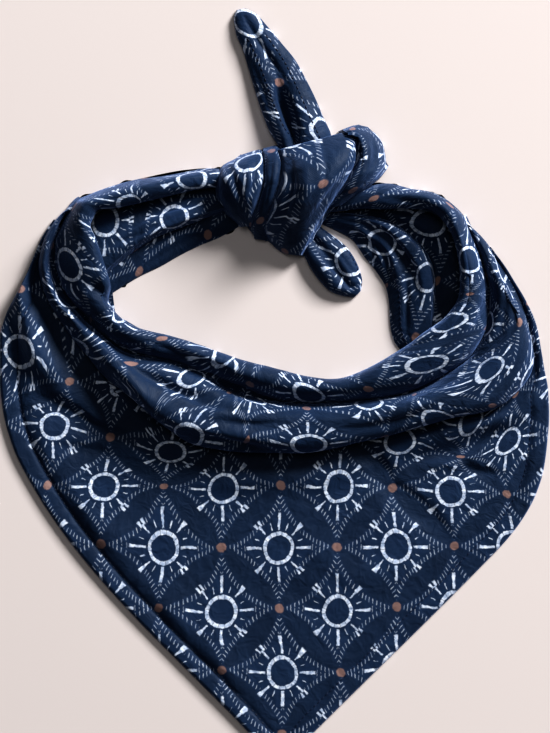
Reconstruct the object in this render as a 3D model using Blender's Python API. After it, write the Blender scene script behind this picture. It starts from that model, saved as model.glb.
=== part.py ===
"""A dog bandana, knotted into its neck ring and laid flat on a table.

The garment is a triangle of doubled cotton with two tapering ties. The neck edge is gathered into
two soft rolls, the ties meet in a knot at the back of the neck, and the point of the triangle (the
bib) lies flat. Sections through the folds are fans of straight lines from the middle of the neck
ring. An angle of 0 points at the tip of the bib, a negative one to the left, a positive one to the
right. Sizes in the tables are millimetres and degrees. The origin is on the table, under the middle
of the whole outline: +X is to the right, +Y towards the knot and +Z up.
"""

import math

import bmesh
import bpy
import numpy as np

MM = 0.001
NECK_CENTRE = (-6.0, 43.0)  # the point that the fold sections fan out from

# The cloth
WALL = 1.8  # two layers of cotton, turned out and pressed
TIE_WALL = 2.0  # the ties also hold their seam allowance
GAP = 0.4  # free space between neighbouring stretches
THINNEST = 0.3  # the least that is left of a half width or a height inside a fold
HEM_WIDTH = 9.0  # from the edge to the topstitching
HEM_RISE = 1.4  # how far the padded hem stands over the stitched line
EDGE_HEIGHT = 1.0  # height of the hem's rounded edge
BIB_TOP = 2.0  # height of the bib where it lies on the table
UNDER_LIP = 2.0  # how far the bib reaches in under the front roll

# How many rows of faces each form gets
ANGLE_STEP = 4.0  # degrees between the sections of a roll and of the bib
SIDE_STEPS = 5  # from the crest of a fold to one of its feet
STRIP_STEPS = 10  # across a strip of band or tie
BIB_STEPS = 8  # across the open part of the bib

# The neck roll, all the way round the ring from the left of the knot to its right:
# angle, then the radius and height of its neck edge, its crest and its outer foot.
NECK_ROLL = (
    (-164, 58.5, 7.5, 63.0, 11.0, 68.0, 0.0),
    (-157, 60.8, 8.5, 66.5, 13.0, 71.5, 0.0),
    (-150, 63.5, 9.5, 69.7, 15.5, 75.2, 0.0),
    (-138, 69.5, 10.5, 76.5, 18.0, 83.2, 0.0),
    (-128, 78.0, 11.5, 86.0, 19.5, 93.4, 0.0),
    (-122, 86.0, 13.0, 93.5, 20.0, 100.6, 0.0),
    (-118, 93.5, 14.0, 99.5, 20.5, 105.5, 0.0),
    (-114, 93.5, 14.0, 98.5, 20.5, 107.2, 0.0),
    (-110, 88.0, 14.0, 92.5, 20.5, 108.3, 0.0),
    (-102, 80.0, 13.5, 84.5, 20.0, 108.3, 3.0),
    (-94, 75.1, 11.0, 80.0, 18.5, 103.3, 7.0),
    (-86, 73.6, 2.0, 79.0, 16.5, 92.5, 7.0),
    (-78, 64.9, 0.0, 71.5, 14.5, 82.8, 6.5),
    (-68, 50.0, 0.0, 58.0, 13.0, 71.2, 6.0),
    (-57, 40.2, 0.0, 47.0, 12.5, 55.5, 5.0),
    (-45, 35.1, 0.0, 41.0, 12.5, 47.5, 4.0),
    (-30, 32.2, 0.0, 37.6, 12.5, 43.2, 3.5),
    (-15, 31.5, 0.0, 37.4, 13.0, 43.2, 3.0),
    (0, 32.5, 0.0, 38.8, 13.5, 46.5, 3.0),
    (15, 36.1, 0.0, 43.0, 14.0, 52.6, 3.0),
    (30, 43.9, 0.0, 50.5, 14.5, 58.5, 3.0),
    (45, 55.2, 0.0, 61.0, 16.0, 69.0, 3.5),
    (57, 61.4, 0.5, 68.0, 18.0, 81.0, 4.0),
    (67, 66.5, 4.5, 75.5, 19.5, 96.2, 4.5),
    (76, 74.2, 10.0, 84.5, 20.5, 110.5, 5.0),
    (84, 85.4, 11.5, 94.5, 21.0, 114.9, 5.5),
    (92, 96.7, 12.0, 101.5, 21.0, 114.0, 6.0),
    (100, 99.4, 12.0, 103.5, 21.0, 111.6, 5.0),
    (107, 99.8, 12.0, 103.6, 20.5, 109.6, 1.5),
    (112, 98.8, 11.5, 103.4, 20.0, 109.2, 0.0),
    (117, 95.0, 11.0, 101.0, 19.0, 106.2, 0.0),
    (122, 85.5, 10.0, 95.5, 17.5, 101.0, 0.0),
    (127, 75.0, 9.0, 86.0, 15.5, 92.6, 0.0),
    (133, 66.5, 7.5, 76.5, 13.0, 85.5, 0.0),
    (139, 58.5, 6.8, 67.0, 11.0, 74.0, 0.0),
    (144, 53.5, 6.2, 60.0, 9.8, 66.5, 0.0),
)
LEFT_CORNER, RIGHT_CORNER = -117.0, 110.0  # where the roll bends into the two arms of the band
WIDENS = 42.0  # the angle where both rolls widen into their right-hand stretches

# The large roll in front of the neck: angle, radius and height of its crest, radius and height of
# its lip or outer foot, and how far round the lip curls under.
FRONT_ROLL = (
    (-113, 109.3, 3.0, 110.4, 0.0, 0),
    (-109, 110.3, 7.0, 112.0, 1.0, 0),
    (-105, 110.8, 9.5, 113.4, 2.6, 0),
    (-100, 110.3, 11.0, 113.4, 3.0, 0),
    (-94, 107.6, 12.0, 112.0, 3.0, 0),
    (-86, 100.0, 13.0, 107.3, 3.0, 0),
    (-78, 90.0, 13.5, 102.9, 3.0, 0),
    (-68, 80.5, 14.0, 96.6, 3.0, 0),
    (-57, 74.3, 14.5, 90.5, 3.0, 10),
    (-45, 70.0, 15.0, 86.7, 3.0, 25),
    (-30, 64.5, 15.5, 81.5, 3.0, 45),
    (-15, 60.3, 16.0, 77.5, 3.0, 50),
    (0, 59.2, 16.5, 76.6, 3.0, 50),
    (15, 62.0, 16.5, 78.9, 3.0, 50),
    (30, 67.0, 17.0, 83.7, 3.0, 45),
    (45, 77.0, 17.0, 94.5, 3.0, 40),
    (57, 91.5, 17.5, 109.5, 3.0, 35),
    (67, 110.0, 17.5, 133.0, 3.0, 25),
    (76, 123.0, 17.0, 139.1, 3.0, 10),
    (84, 124.5, 15.5, 132.2, 3.0, 0),
    (92, 120.0, 13.5, 125.6, 3.0, 0),
    (98, 116.0, 12.5, 120.3, 2.5, 0),
    (104, 113.0, 9.5, 116.0, 0.5, 0),
    (109, 110.6, 3.0, 111.4, 0.0, 0),
)

# The bib: angle, height of the swell just outside the front roll and how far out the swell reaches
BIB_SWELL = (
    (-104, 2.1, 4.0),
    (-94, 4.5, 12.0),
    (-86, 7.5, 22.0),
    (-78, 7.5, 26.0),
    (-68, 6.0, 26.0),
    (-57, 5.0, 24.0),
    (-30, 4.2, 22.0),
    (0, 4.0, 22.0),
    (45, 4.5, 20.0),
    (57, 5.0, 20.0),
    (67, 5.5, 18.0),
    (76, 3.5, 8.0),
    (84, 2.4, 5.0),
    (97, 2.1, 3.0),
)
# The edge of the bib, from the neck centre, as x and y: the left side, the tip, the right side
HEM_LEFT = (
    (-111.6, 27.9),
    (-114.2, 22.0),
    (-117.3, 14.5),
    (-122.0, 5.0),
    (-128.7, -8.5),
    (-131.3, -19.0),
    (-131.3, -40.0),
    (-129.7, -55.5),
    (-124.7, -73.5),
    (-115.2, -92.5),
    (-101.7, -113.5),
    (-85.8, -134.0),
    (-70.8, -151.0),
    (-12.3, -210.5),
    (6.0, -229.3),
)
TIP = (9.3, -231.5)
HEM_RIGHT = (
    (12.6, -229.3),
    (26.3, -215.5),
    (111.0, -131.5),
    (121.5, -120.5),
    (130.0, -109.5),
    (136.3, -98.0),
    (140.5, -85.0),
    (142.6, -69.0),
    (143.3, -58.5),
    (142.8, -45.0),
    (141.0, -35.0),
    (139.5, -26.0),
    (136.8, -12.0),
    (131.5, 0.0),
    (125.5, 10.0),
    (122.3, 15.3),
)

# Soft creases pressed into the bib: two ends as x and y from the origin, depth (a ridge is
# positive) and half width
BIB_CREASES = (
    (66.0, -37.5, 112.0, -24.0, -2.2, 4.0),
    (58.0, -29.0, 108.0, -15.0, 2.0, 5.0),
    (58.0, -50.0, 84.0, -70.0, -1.6, 4.5),
    (-104.0, -30.0, -82.0, -34.0, -1.5, 5.0),
    (-40.0, -50.0, 30.0, -46.0, 1.6, 8.0),
)

# Strips of the band and the ties. Each row is a section: its left edge x, y and height, its right
# edge x, y and height, how far it arches over the line between them, and how deep a lengthwise
# crease down its middle goes.
LEFT_BAND_MIDDLE = (
    (-24.0, 99.5, 3.5, -23.0, 89.5, 5.5, 2.5, 0.0),
    (-34.0, 100.5, 3.5, -33.0, 86.5, 7.0, 3.0, 0.0),
    (-45.0, 98.5, 3.5, -42.0, 83.0, 8.0, 3.5, 0.0),
    (-56.0, 96.5, 3.5, -51.0, 79.7, 8.5, 3.5, 0.0),
    (-67.0, 94.0, 3.5, -60.0, 76.0, 8.5, 3.5, 0.0),
    (-78.0, 92.0, 3.5, -68.0, 71.0, 8.0, 3.5, 0.0),
    (-89.0, 87.0, 3.5, -77.0, 64.0, 7.5, 3.0, 0.0),
    (-97.0, 80.0, 3.0, -86.0, 56.0, 7.0, 2.5, 0.0),
)
LEFT_BAND_LOW = (
    (-21.0, 92.0, 2.0, -18.0, 79.5, 0.0, 2.4, 0.0),
    (-32.0, 89.5, 3.0, -28.2, 74.0, 0.0, 2.8, 0.0),
    (-42.0, 86.0, 3.0, -37.2, 70.3, 0.0, 3.2, 0.0),
    (-51.0, 82.5, 3.0, -47.0, 65.5, 0.0, 3.2, 0.0),
    (-60.0, 79.0, 3.0, -57.0, 59.8, 0.0, 3.2, 0.0),
    (-68.5, 74.0, 2.5, -67.0, 55.0, 0.0, 3.2, 0.0),
    (-77.5, 67.0, 2.0, -75.5, 50.0, 0.0, 3.0, 0.0),
    (-86.0, 60.0, 1.5, -84.0, 44.5, 0.0, 2.6, 0.0),
)
RIGHT_BAND_MIDDLE = (
    (32.0, 84.5, 0.5, 39.5, 91.0, 0.5, 2.2, 0.0),
    (41.0, 82.0, 0.5, 47.5, 91.5, 0.5, 2.4, 0.0),
    (52.0, 78.5, 0.5, 58.5, 91.5, 0.5, 2.6, 0.0),
    (62.0, 73.0, 0.5, 72.0, 90.5, 0.5, 2.6, 0.0),
    (69.5, 66.0, 0.5, 88.0, 84.0, 0.5, 2.8, 0.0),
    (74.0, 58.0, 0.5, 95.0, 72.0, 0.5, 2.8, 0.0),
    (75.5, 49.0, 0.5, 96.5, 60.0, 0.5, 2.8, 0.0),
    (75.0, 41.0, 0.5, 93.5, 48.0, 0.5, 2.6, 0.0),
    (71.5, 33.5, 0.5, 84.0, 37.0, 0.5, 2.4, 0.0),
)
RIGHT_BAND_LOW = (
    (19.5, 82.5, 0.0, 26.0, 87.0, 2.0, 2.8, 0.0),
    (25.5, 80.0, 0.0, 34.0, 86.5, 3.0, 3.2, 0.0),
    (31.8, 77.0, 0.0, 43.0, 85.0, 4.5, 4.2, 0.0),
    (38.8, 73.0, 0.0, 55.0, 81.5, 5.5, 5.0, 1.0),
    (45.8, 63.5, 0.0, 65.0, 75.5, 5.5, 5.5, 1.5),
    (51.8, 56.0, 0.0, 72.8, 67.5, 5.5, 5.5, 1.5),
    (55.8, 49.0, 0.0, 77.3, 58.5, 5.5, 5.5, 1.0),
    (57.3, 41.0, 0.0, 78.5, 49.0, 5.5, 5.0, 1.0),
    (57.8, 31.0, 0.0, 78.5, 39.5, 5.0, 4.0, 0.5),
    (59.8, 22.5, 0.0, 78.0, 31.0, 4.5, 3.0, 0.0),
    (65.0, 16.0, 0.0, 79.0, 24.5, 3.5, 2.5, 0.0),
)
KNOT_LEFT = (
    (-17.5, 115.3, 0.0, -7.6, 118.3, 1.0, 2.4, 0.0),
    (-19.5, 113.5, 3.0, -7.0, 117.0, 6.0, 4.0, 0.0),
    (-24.5, 109.5, 9.0, -5.3, 111.0, 12.0, 8.0, 0.0),
    (-27.5, 102.0, 14.0, -5.3, 102.5, 16.0, 9.0, 0.5),
    (-27.0, 94.5, 12.5, -7.3, 94.5, 15.0, 9.0, 0.5),
    (-22.5, 86.5, 9.0, -9.8, 86.5, 12.0, 6.5, 0.5),
    (-16.0, 79.5, 3.5, -11.8, 79.5, 5.5, 4.5, 0.0),
)
KNOT_FOLD = (
    (-6.0, 118.6, 1.0, 1.2, 120.4, 2.0, 2.6, 0.0),
    (-5.6, 115.5, 8.0, 1.6, 117.5, 10.0, 4.0, 0.0),
    (-4.9, 109.5, 13.5, 3.3, 110.5, 15.5, 5.5, 0.0),
    (-4.9, 102.0, 16.5, 2.5, 102.5, 18.0, 5.5, 0.0),
    (-6.9, 94.0, 15.0, 0.3, 94.5, 17.0, 5.5, 0.0),
    (-9.4, 86.0, 11.0, -2.4, 86.5, 13.0, 5.0, 0.0),
    (-11.4, 79.5, 5.0, -4.4, 79.5, 7.0, 4.5, 0.0),
    (-10.0, 73.5, 0.0, -3.4, 72.5, 1.0, 3.2, 0.0),
)
KNOT_WRAP = (
    (2.3, 117.8, 12.0, 33.0, 126.0, 11.5, 4.0, 0.0),
    (3.9, 112.0, 16.5, 40.5, 121.5, 15.0, 8.0, 0.0),
    (3.6, 105.0, 19.0, 40.3, 112.5, 18.0, 12.0, 0.0),
    (1.8, 97.5, 18.5, 36.8, 103.5, 18.5, 13.5, 0.0),
    (-0.9, 90.0, 16.0, 31.3, 94.8, 17.0, 13.0, 0.0),
    (-3.0, 82.5, 12.0, 25.5, 86.5, 13.5, 11.0, 0.0),
    (-3.6, 76.5, 7.0, 20.5, 79.0, 10.5, 8.0, 0.0),
    (-0.8, 70.5, 2.0, 16.5, 71.5, 8.5, 5.0, 0.0),
    (4.8, 66.0, 0.0, 13.0, 65.0, 5.0, 3.0, 0.0),
)
KNOT_LOOP = (
    (33.8, 128.0, 6.0, 39.5, 130.2, 2.0, 2.3, 0.0),
    (35.5, 126.0, 14.5, 41.0, 129.2, 8.0, 2.5, 0.0),
    (41.2, 123.0, 16.5, 49.0, 127.2, 2.0, 5.5, 0.0),
    (42.8, 117.5, 18.0, 54.5, 119.8, 0.0, 8.5, 0.0),
    (41.0, 111.0, 19.0, 55.6, 112.5, 2.0, 9.0, 0.0),
    (38.2, 105.0, 19.0, 51.5, 105.0, 12.0, 7.0, 0.0),
    (34.8, 99.0, 18.0, 44.8, 99.0, 14.0, 5.0, 0.0),
    (31.2, 93.8, 15.5, 38.0, 94.0, 12.5, 3.5, 0.0),
    (27.2, 88.5, 13.0, 32.6, 89.5, 10.5, 2.5, 0.0),
)
LONG_TAIL = (
    (-18.9, 187.9, 0.0, -14.2, 188.6, 0.0, 2.6, 0.0),
    (-20.3, 184.0, 0.0, -9.3, 186.0, 0.0, 4.5, 0.3),
    (-19.3, 176.5, 0.0, -3.3, 179.5, 0.0, 5.5, 0.8),
    (-15.8, 168.0, 0.0, 3.8, 171.0, 0.0, 6.0, 1.2),
    (-12.8, 158.0, 0.0, 10.3, 163.0, 0.0, 6.5, 1.8),
    (-9.8, 148.0, 0.0, 15.3, 154.0, 0.0, 7.5, 2.5),
    (-6.3, 137.0, 0.0, 20.3, 144.0, 0.0, 8.5, 4.0),
    (-2.3, 127.0, 0.0, 24.3, 134.5, 0.0, 10.0, 6.0),
    (2.5, 119.0, 0.0, 28.0, 126.5, 0.0, 10.5, 6.5),
    (5.0, 114.5, 0.0, 29.0, 122.0, 0.0, 9.5, 6.0),
)
SHORT_TAIL = (
    (39.8, 44.3, 0.0, 43.2, 47.6, 0.0, 2.6, 0.0),
    (34.5, 45.0, 0.0, 43.8, 52.5, 0.0, 5.0, 0.8),
    (27.8, 47.5, 0.0, 42.5, 58.0, 0.0, 6.5, 2.0),
    (22.3, 53.0, 0.0, 39.5, 64.5, 0.0, 7.5, 2.8),
    (18.0, 59.0, 0.0, 35.5, 70.0, 0.0, 7.5, 3.0),
    (15.2, 64.5, 0.0, 30.0, 74.5, 0.0, 7.0, 3.0),
    (13.5, 68.5, 0.0, 25.0, 78.0, 0.0, 6.0, 2.5),
)
CREASE_HALF_WIDTH = 0.30  # of a lengthwise crease, as a share of a strip's half width
TIE_CURL = 25.0  # how far the long edges of a tie curl under

# The folds hidden in the knot: middle x and y, half sizes along x and y, and height
KNOT_HEART = (7.0, 98.0, 14.5, 14.5, 13.0)

NAVY = (0.011, 0.022, 0.055)
ROUGHNESS = 0.82


def smooth(xs, ys, x):
    """Reads a table column at x, along a cubic curve that never swings past its rows."""
    xs, ys, x = (np.asarray(a, float) for a in (xs, ys, x))
    step = np.diff(xs)
    slope = np.diff(ys) / step
    before, after = slope[:-1], slope[1:]
    same_way = before * after > 0
    w1, w2 = 2 * step[1:] + step[:-1], step[1:] + 2 * step[:-1]
    bottom = np.where(same_way, w1 * after + w2 * before, 1.0)
    tangent = np.zeros_like(ys)
    tangent[1:-1] = np.where(same_way, (w1 + w2) * before * after / bottom, 0.0)
    tangent[0], tangent[-1] = slope[0], slope[-1]
    i = np.clip(np.searchsorted(xs, x) - 1, 0, len(step) - 1)
    h, t = step[i], (x - xs[i]) / step[i]
    return (ys[i] * (1 + 2 * t) * (1 - t) ** 2 + tangent[i] * h * t * (1 - t) ** 2
            + ys[i + 1] * t * t * (3 - 2 * t) + tangent[i + 1] * h * t * t * (t - 1))


def section_angles(*ends):
    """Whole steps of the fan between the outer two of these angles, and these angles too."""
    steps = np.arange(-180.0, 180.0, ANGLE_STEP)
    between = steps[(steps > min(ends) + 1.0) & (steps < max(ends) - 1.0)]
    return np.unique(np.concatenate([between, ends]))


def columns(table, at):
    """Every column of a table but the first, read at values of the first."""
    rows = np.array(table, float)
    return [smooth(rows[:, 0], rows[:, c], at) for c in range(1, rows.shape[1])]


def flank(crest, crest_height, edge, foot_height, curl, inset):
    """One side of a fold, from its crest round to its foot, as radii and heights by section.

    It is a quarter of an ellipse, and with curl it carries on under the fold by that angle. The
    inside of the wall is the same curve with the wall's thickness as the inset.
    """
    sweep = np.radians(90.0 + curl)[:, None] * np.linspace(0.0, 1.0, SIDE_STEPS + 1)[None, :]
    last = np.cos(sweep[:, -1])
    centre = (foot_height - crest_height * last) / (1.0 - last)
    half_width = np.maximum(np.abs(edge - crest) - inset, THINNEST) * np.sign(edge - crest)
    height = np.maximum(crest_height - centre - inset, THINNEST)
    radii = crest[:, None] + half_width[:, None] * np.sin(sweep)
    heights = centre[:, None] + height[:, None] * np.cos(sweep)
    return radii, np.maximum(heights, 0.0)


def fan(angles, radii, heights):
    """Points of the sections at these angles, from radii about the neck centre and heights."""
    a = np.radians(angles)[:, None]
    x = NECK_CENTRE[0] + radii * np.sin(a)
    y = NECK_CENTRE[1] - radii * np.cos(a)
    return np.stack([x, y, heights], axis=2)


def roll_surface(angles, inner_flank, outer_flank):
    """A roll's surface from its two flanks, neck side first."""
    radii = np.concatenate([inner_flank[0][:, ::-1], outer_flank[0][:, 1:]], axis=1)
    heights = np.concatenate([inner_flank[1][:, ::-1], outer_flank[1][:, 1:]], axis=1)
    return fan(angles, radii, heights)


def cloth_material(name):
    """Matt navy cotton."""
    material = bpy.data.materials.new(name)
    material.use_nodes = True
    shader = material.node_tree.nodes["Principled BSDF"]
    shader.inputs["Base Color"].default_value = (*NAVY, 1.0)
    shader.inputs["Roughness"].default_value = ROUGHNESS
    shader.inputs["Metallic"].default_value = 0.0
    return material


def add_piece(name, skin):
    """Turns a closed skin into a smooth-shaded object with its own material."""
    bmesh.ops.recalc_face_normals(skin, faces=skin.faces)
    mesh = bpy.data.meshes.new(name)
    skin.to_mesh(mesh)
    skin.free()
    mesh.shade_smooth()
    mesh.materials.append(cloth_material(name))
    piece = bpy.data.objects.new(name, mesh)
    bpy.context.scene.collection.objects.link(piece)
    return piece


def add_wall(name, outside, inside):
    """A cloth wall between two grids of places in millimetres, rows along it and points across.

    Both faces of the cloth are grids, and a band of faces round their rims closes them.
    """
    rows, points = outside.shape[:2]
    skin = bmesh.new()
    layers = []
    for places in (outside, inside):
        grid = bmesh.ops.create_grid(skin, x_segments=points - 1, y_segments=rows - 1, size=1.0)
        for vertex, place in zip(grid["verts"], places.reshape(-1, 3) * MM):
            vertex.co = place
        layers.append(grid["verts"])
    rim = [i * points for i in range(rows)]
    rim += [(rows - 1) * points + j for j in range(1, points)]
    rim += [i * points + points - 1 for i in range(rows - 2, -1, -1)]
    rim += list(range(points - 2, 0, -1))
    outer, inner = layers
    for a, b in zip(rim, rim[1:] + rim[:1]):
        skin.faces.new((outer[a], outer[b], inner[b], inner[a]))
    return add_piece(name, skin)


def neck_roll(name, first, last):
    """The inner roll between two angles: neck edge, crest and outer foot."""
    angles = section_angles(first, last)
    neck, neck_height, crest, crest_height, foot, foot_height = columns(NECK_ROLL, angles)
    curl = 35.0 * np.clip(1.0 - neck_height / 5.0, 0.0, 1.0)
    straight = np.zeros(len(angles))
    surfaces = []
    for inset in (0.0, WALL):
        neck_side = flank(crest, crest_height, neck, neck_height, curl, inset)
        far_side = flank(crest, crest_height, foot - GAP / 2, foot_height, straight, inset)
        surfaces.append(roll_surface(angles, neck_side, far_side))
    return add_wall(name, *surfaces)


def front_roll(name, first, last):
    """The large roll in front: it starts at the neck roll's foot and curls over the bib."""
    angles = section_angles(first, last)
    crest, crest_height, lip, lip_height, curl = columns(FRONT_ROLL, angles)
    valley, valley_height = columns(NECK_ROLL, angles)[4:6]
    straight = np.zeros(len(angles))
    surfaces = []
    for inset in (0.0, WALL):
        neck_side = flank(crest, crest_height, valley + GAP / 2, valley_height, straight, inset)
        far_side = flank(crest, crest_height, lip, lip_height, curl, inset)
        surfaces.append(roll_surface(angles, neck_side, far_side))
    return add_wall(name, *surfaces)


def hem_outline():
    """The edge of the bib as dense points: a smooth curve down each side to the tip."""
    sides = []
    for points in ((*HEM_LEFT, TIP), (TIP, *HEM_RIGHT)):
        p = np.array(points)
        run = np.concatenate([[0.0], np.cumsum(np.hypot(*np.diff(p, axis=0).T))])
        at = np.linspace(0.0, run[-1], 400)
        sides.append(np.stack([smooth(run, p[:, 0], at), smooth(run, p[:, 1], at)], axis=1))
    return np.concatenate([sides[0], sides[1][1:]])


def crease_height(x, y):
    """What the soft creases add to the bib's height at x and y."""
    height = np.zeros_like(x)
    for x0, y0, x1, y1, depth, half_width in BIB_CREASES:
        dx, dy = x1 - x0, y1 - y0
        share = np.clip(((x - x0) * dx + (y - y0) * dy) / (dx * dx + dy * dy), 0.0, 1.0)
        away = np.hypot(x - x0 - share * dx, y - y0 - share * dy)
        fade = 0.35 + 0.65 * np.sin(math.pi * share)
        height += depth * fade * np.exp(-((away / half_width) ** 2))
    return height


def bib(name):
    """The flat triangle, from under the front roll's lip to its padded, stitched hem."""
    outline = hem_outline()
    outline_angle = np.degrees(np.arctan2(outline[:, 0], -outline[:, 1]))
    outline_radius = np.hypot(outline[:, 0], outline[:, 1])
    tip_angle = math.degrees(math.atan2(TIP[0], -TIP[1]))
    angles = section_angles(BIB_SWELL[0][0], tip_angle, BIB_SWELL[-1][0])
    crest, _, lip, lip_height, curl = columns(FRONT_ROLL, angles)
    swell, reach = columns(BIB_SWELL, angles)
    lip_edge = crest + (lip - crest) * np.cos(np.radians(curl))  # where the curled lip ends
    start = lip_edge - UNDER_LIP
    edge = np.interp(angles, outline_angle, outline_radius)
    # A section line that meets the edge at a slant needs more of its length for the hem
    tangent = np.gradient(outline, axis=0)
    tangent /= np.linalg.norm(tangent, axis=1, keepdims=True)
    square = np.abs(tangent[:, 0] * outline[:, 1] - tangent[:, 1] * outline[:, 0]) / outline_radius
    square = np.clip(np.interp(angles, outline_angle, square), 0.6, 1.0)
    hem = np.minimum(HEM_WIDTH / square, 0.5 * (edge - start))
    # Shares of the way: over the open cloth, then over the hem
    open_shares = np.linspace(0.0, 1.0, BIB_STEPS + 1)[None, :]
    hem_shares = np.array([0.12, 0.45, 0.75, 0.93, 1.0])[None, :]
    stitched = (edge - hem)[:, None]
    radii = np.concatenate([start[:, None] + (stitched - start[:, None]) * open_shares,
                            stitched + hem[:, None] * hem_shares], axis=1)
    # The swell starts at the lip, tops at a third of its reach and runs out at the full reach
    out = np.clip((radii - lip[:, None] - 0.5) / reach[:, None], 0.0, 1.0)
    bulge = np.maximum(swell - BIB_TOP, 0.0)[:, None] * np.sin(math.pi * out ** 0.63) ** 2
    points = fan(angles, radii, np.full_like(radii, BIB_TOP))
    clear = np.clip((radii - lip[:, None] - 1.0) / 4.0, 0.0, 1.0)
    over_hem = np.clip((radii - stitched) / hem[:, None], 0.0, 1.0)
    lift = bulge + crease_height(points[..., 0], points[..., 1]) * clear
    lift = np.maximum(lift, 0.0) * (1 - over_hem)
    padding = np.clip(HEM_RISE * hem / HEM_WIDTH, 0.0, HEM_RISE)[:, None]
    points[..., 2] = BIB_TOP + lift + padding * np.sin(math.pi * over_hem) ** 2
    points[:, -1, 2] = EDGE_HEIGHT
    # Its underside is flat on the table wherever the cloth isn't lifted
    under = points.copy()
    under[..., 2] = lift
    return add_wall(name, points, under)


def strip_surface(table, sections, curl, inset):
    """The surface of a strip of band or tie from its table, or the inside of its wall."""
    rows = np.array(table, float)
    at = np.linspace(0, len(rows) - 1, sections)
    column = [smooth(np.arange(len(rows)), rows[:, c], at)[:, None] for c in range(8)]
    left, right, rise, crease = column[0:3], column[3:6], column[6], column[7]
    sweep = math.radians(90.0 + curl)
    turn = np.linspace(-sweep, sweep, STRIP_STEPS + 1)[None, :]
    width = np.hypot(right[0] - left[0], right[1] - left[1])
    narrower = np.maximum(1.0 - 2.0 * inset / width, 0.1)
    share = (1.0 + np.sin(turn) * narrower) / 2.0
    arch = (np.cos(turn) - math.cos(sweep)) / (1.0 - math.cos(sweep))
    x, y, z = (a + (b - a) * share for a, b in zip(left, right))
    dip = np.exp(-((np.sin(turn) / CREASE_HALF_WIDTH) ** 2))
    z = z + np.maximum(rise - inset, THINNEST) * arch - crease * dip
    return np.stack([x, y, np.maximum(z, 0.0)], axis=2)


def strip(name, table, sections, thickness, curl=0.0):
    """One strip of band or tie as a cloth wall."""
    outside = strip_surface(table, sections, curl, 0.0)
    return add_wall(name, outside, strip_surface(table, sections, curl, thickness))


def knot_heart(name):
    """The folds that nothing shows of, inside the knot, as one rounded solid on the table."""
    middle_x, middle_y, half_x, half_y, height = (size * MM for size in KNOT_HEART)
    skin = bmesh.new()
    ball = bmesh.ops.create_uvsphere(skin, u_segments=20, v_segments=11, radius=1.0)
    bmesh.ops.scale(skin, vec=(half_x, half_y, height), verts=ball["verts"])
    bmesh.ops.translate(skin, vec=(middle_x, middle_y, 0.0), verts=ball["verts"])
    bmesh.ops.bisect_plane(skin, geom=skin.verts[:] + skin.edges[:] + skin.faces[:],
                           plane_co=(0, 0, 0), plane_no=(0, 0, 1), clear_inner=True)
    bmesh.ops.holes_fill(skin, edges=[edge for edge in skin.edges if edge.is_boundary])
    return add_piece(name, skin)


def main():
    for old in list(bpy.data.objects):
        bpy.data.objects.remove(old)
    bib("bib")
    split = 0.25  # degrees on each side of a corner, about the usual gap at that radius
    front_roll("neck_roll_outer", FRONT_ROLL[0][0], WIDENS - split)
    front_roll("neck_roll_outer_right", WIDENS + split, FRONT_ROLL[-1][0])
    neck_roll("left_band_top", NECK_ROLL[0][0], LEFT_CORNER - split)
    neck_roll("neck_roll_inner", LEFT_CORNER + split, WIDENS - split)
    neck_roll("neck_roll_inner_right", WIDENS + split, RIGHT_CORNER - split)
    neck_roll("right_band_top", RIGHT_CORNER + split, NECK_ROLL[-1][0])
    strip("left_band_middle", LEFT_BAND_MIDDLE, 12, WALL)
    strip("left_band_low", LEFT_BAND_LOW, 12, WALL)
    strip("right_band_middle", RIGHT_BAND_MIDDLE, 13, WALL)
    strip("right_band_low", RIGHT_BAND_LOW, 15, WALL)
    strip("knot_left", KNOT_LEFT, 11, TIE_WALL)
    strip("knot_fold", KNOT_FOLD, 12, TIE_WALL)
    strip("knot_wrap", KNOT_WRAP, 14, TIE_WALL)
    strip("knot_loop", KNOT_LOOP, 13, TIE_WALL)
    strip("long_tail", LONG_TAIL, 16, TIE_WALL, TIE_CURL)
    strip("short_tail", SHORT_TAIL, 12, TIE_WALL, TIE_CURL)
    knot_heart("knot_heart")


main()
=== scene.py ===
import math

import bpy
import numpy as np
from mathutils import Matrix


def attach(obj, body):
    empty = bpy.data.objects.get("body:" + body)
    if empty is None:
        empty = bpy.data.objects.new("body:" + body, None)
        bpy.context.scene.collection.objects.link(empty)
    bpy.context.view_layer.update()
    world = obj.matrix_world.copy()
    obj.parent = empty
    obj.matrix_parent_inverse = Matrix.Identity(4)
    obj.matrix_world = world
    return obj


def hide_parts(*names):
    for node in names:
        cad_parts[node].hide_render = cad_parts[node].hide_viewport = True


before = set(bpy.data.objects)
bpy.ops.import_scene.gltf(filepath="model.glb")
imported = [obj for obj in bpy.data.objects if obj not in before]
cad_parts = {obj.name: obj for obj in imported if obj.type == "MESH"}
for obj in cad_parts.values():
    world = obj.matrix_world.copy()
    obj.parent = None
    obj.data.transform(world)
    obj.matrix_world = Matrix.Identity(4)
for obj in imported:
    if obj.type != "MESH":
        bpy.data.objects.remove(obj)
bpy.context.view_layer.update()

# ---- The neck roll ---------------------------------------------------------------------------
# The long side of the cotton triangle, gathered round the neck and rolled over on itself. It runs
# on into the top strands of the tie bands on both sides. Two layers of quilting-weight cotton,
# seamed and turned out, so the edge along the neck is a soft fold.
MM = 0.001
NECK_CENTRE = (-6.0, 43.0)  # mm, the point that the fold sections fan out from
CLOTH = 1.2  # mm, two layers of cotton and the air between them
THINNEST = 0.3  # mm, so that no fold's side is quite flat
NECK_STEPS, ROLL_STEPS = 18, 26  # of the grid, down the neck edge and down a roll's other sides
UNDER, UNDER_STEPS, UNDER_SLOPE = 4.0, 3, 0.7  # mm that a foot reaches under, steps, mm down a mm
EDGE_CURL = 35.0  # degrees, how far the neck edge curls under where it lies on the table
NECK_TURN = 0.7  # degrees from one section to the next
CREASE_STEPS = 60
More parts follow.
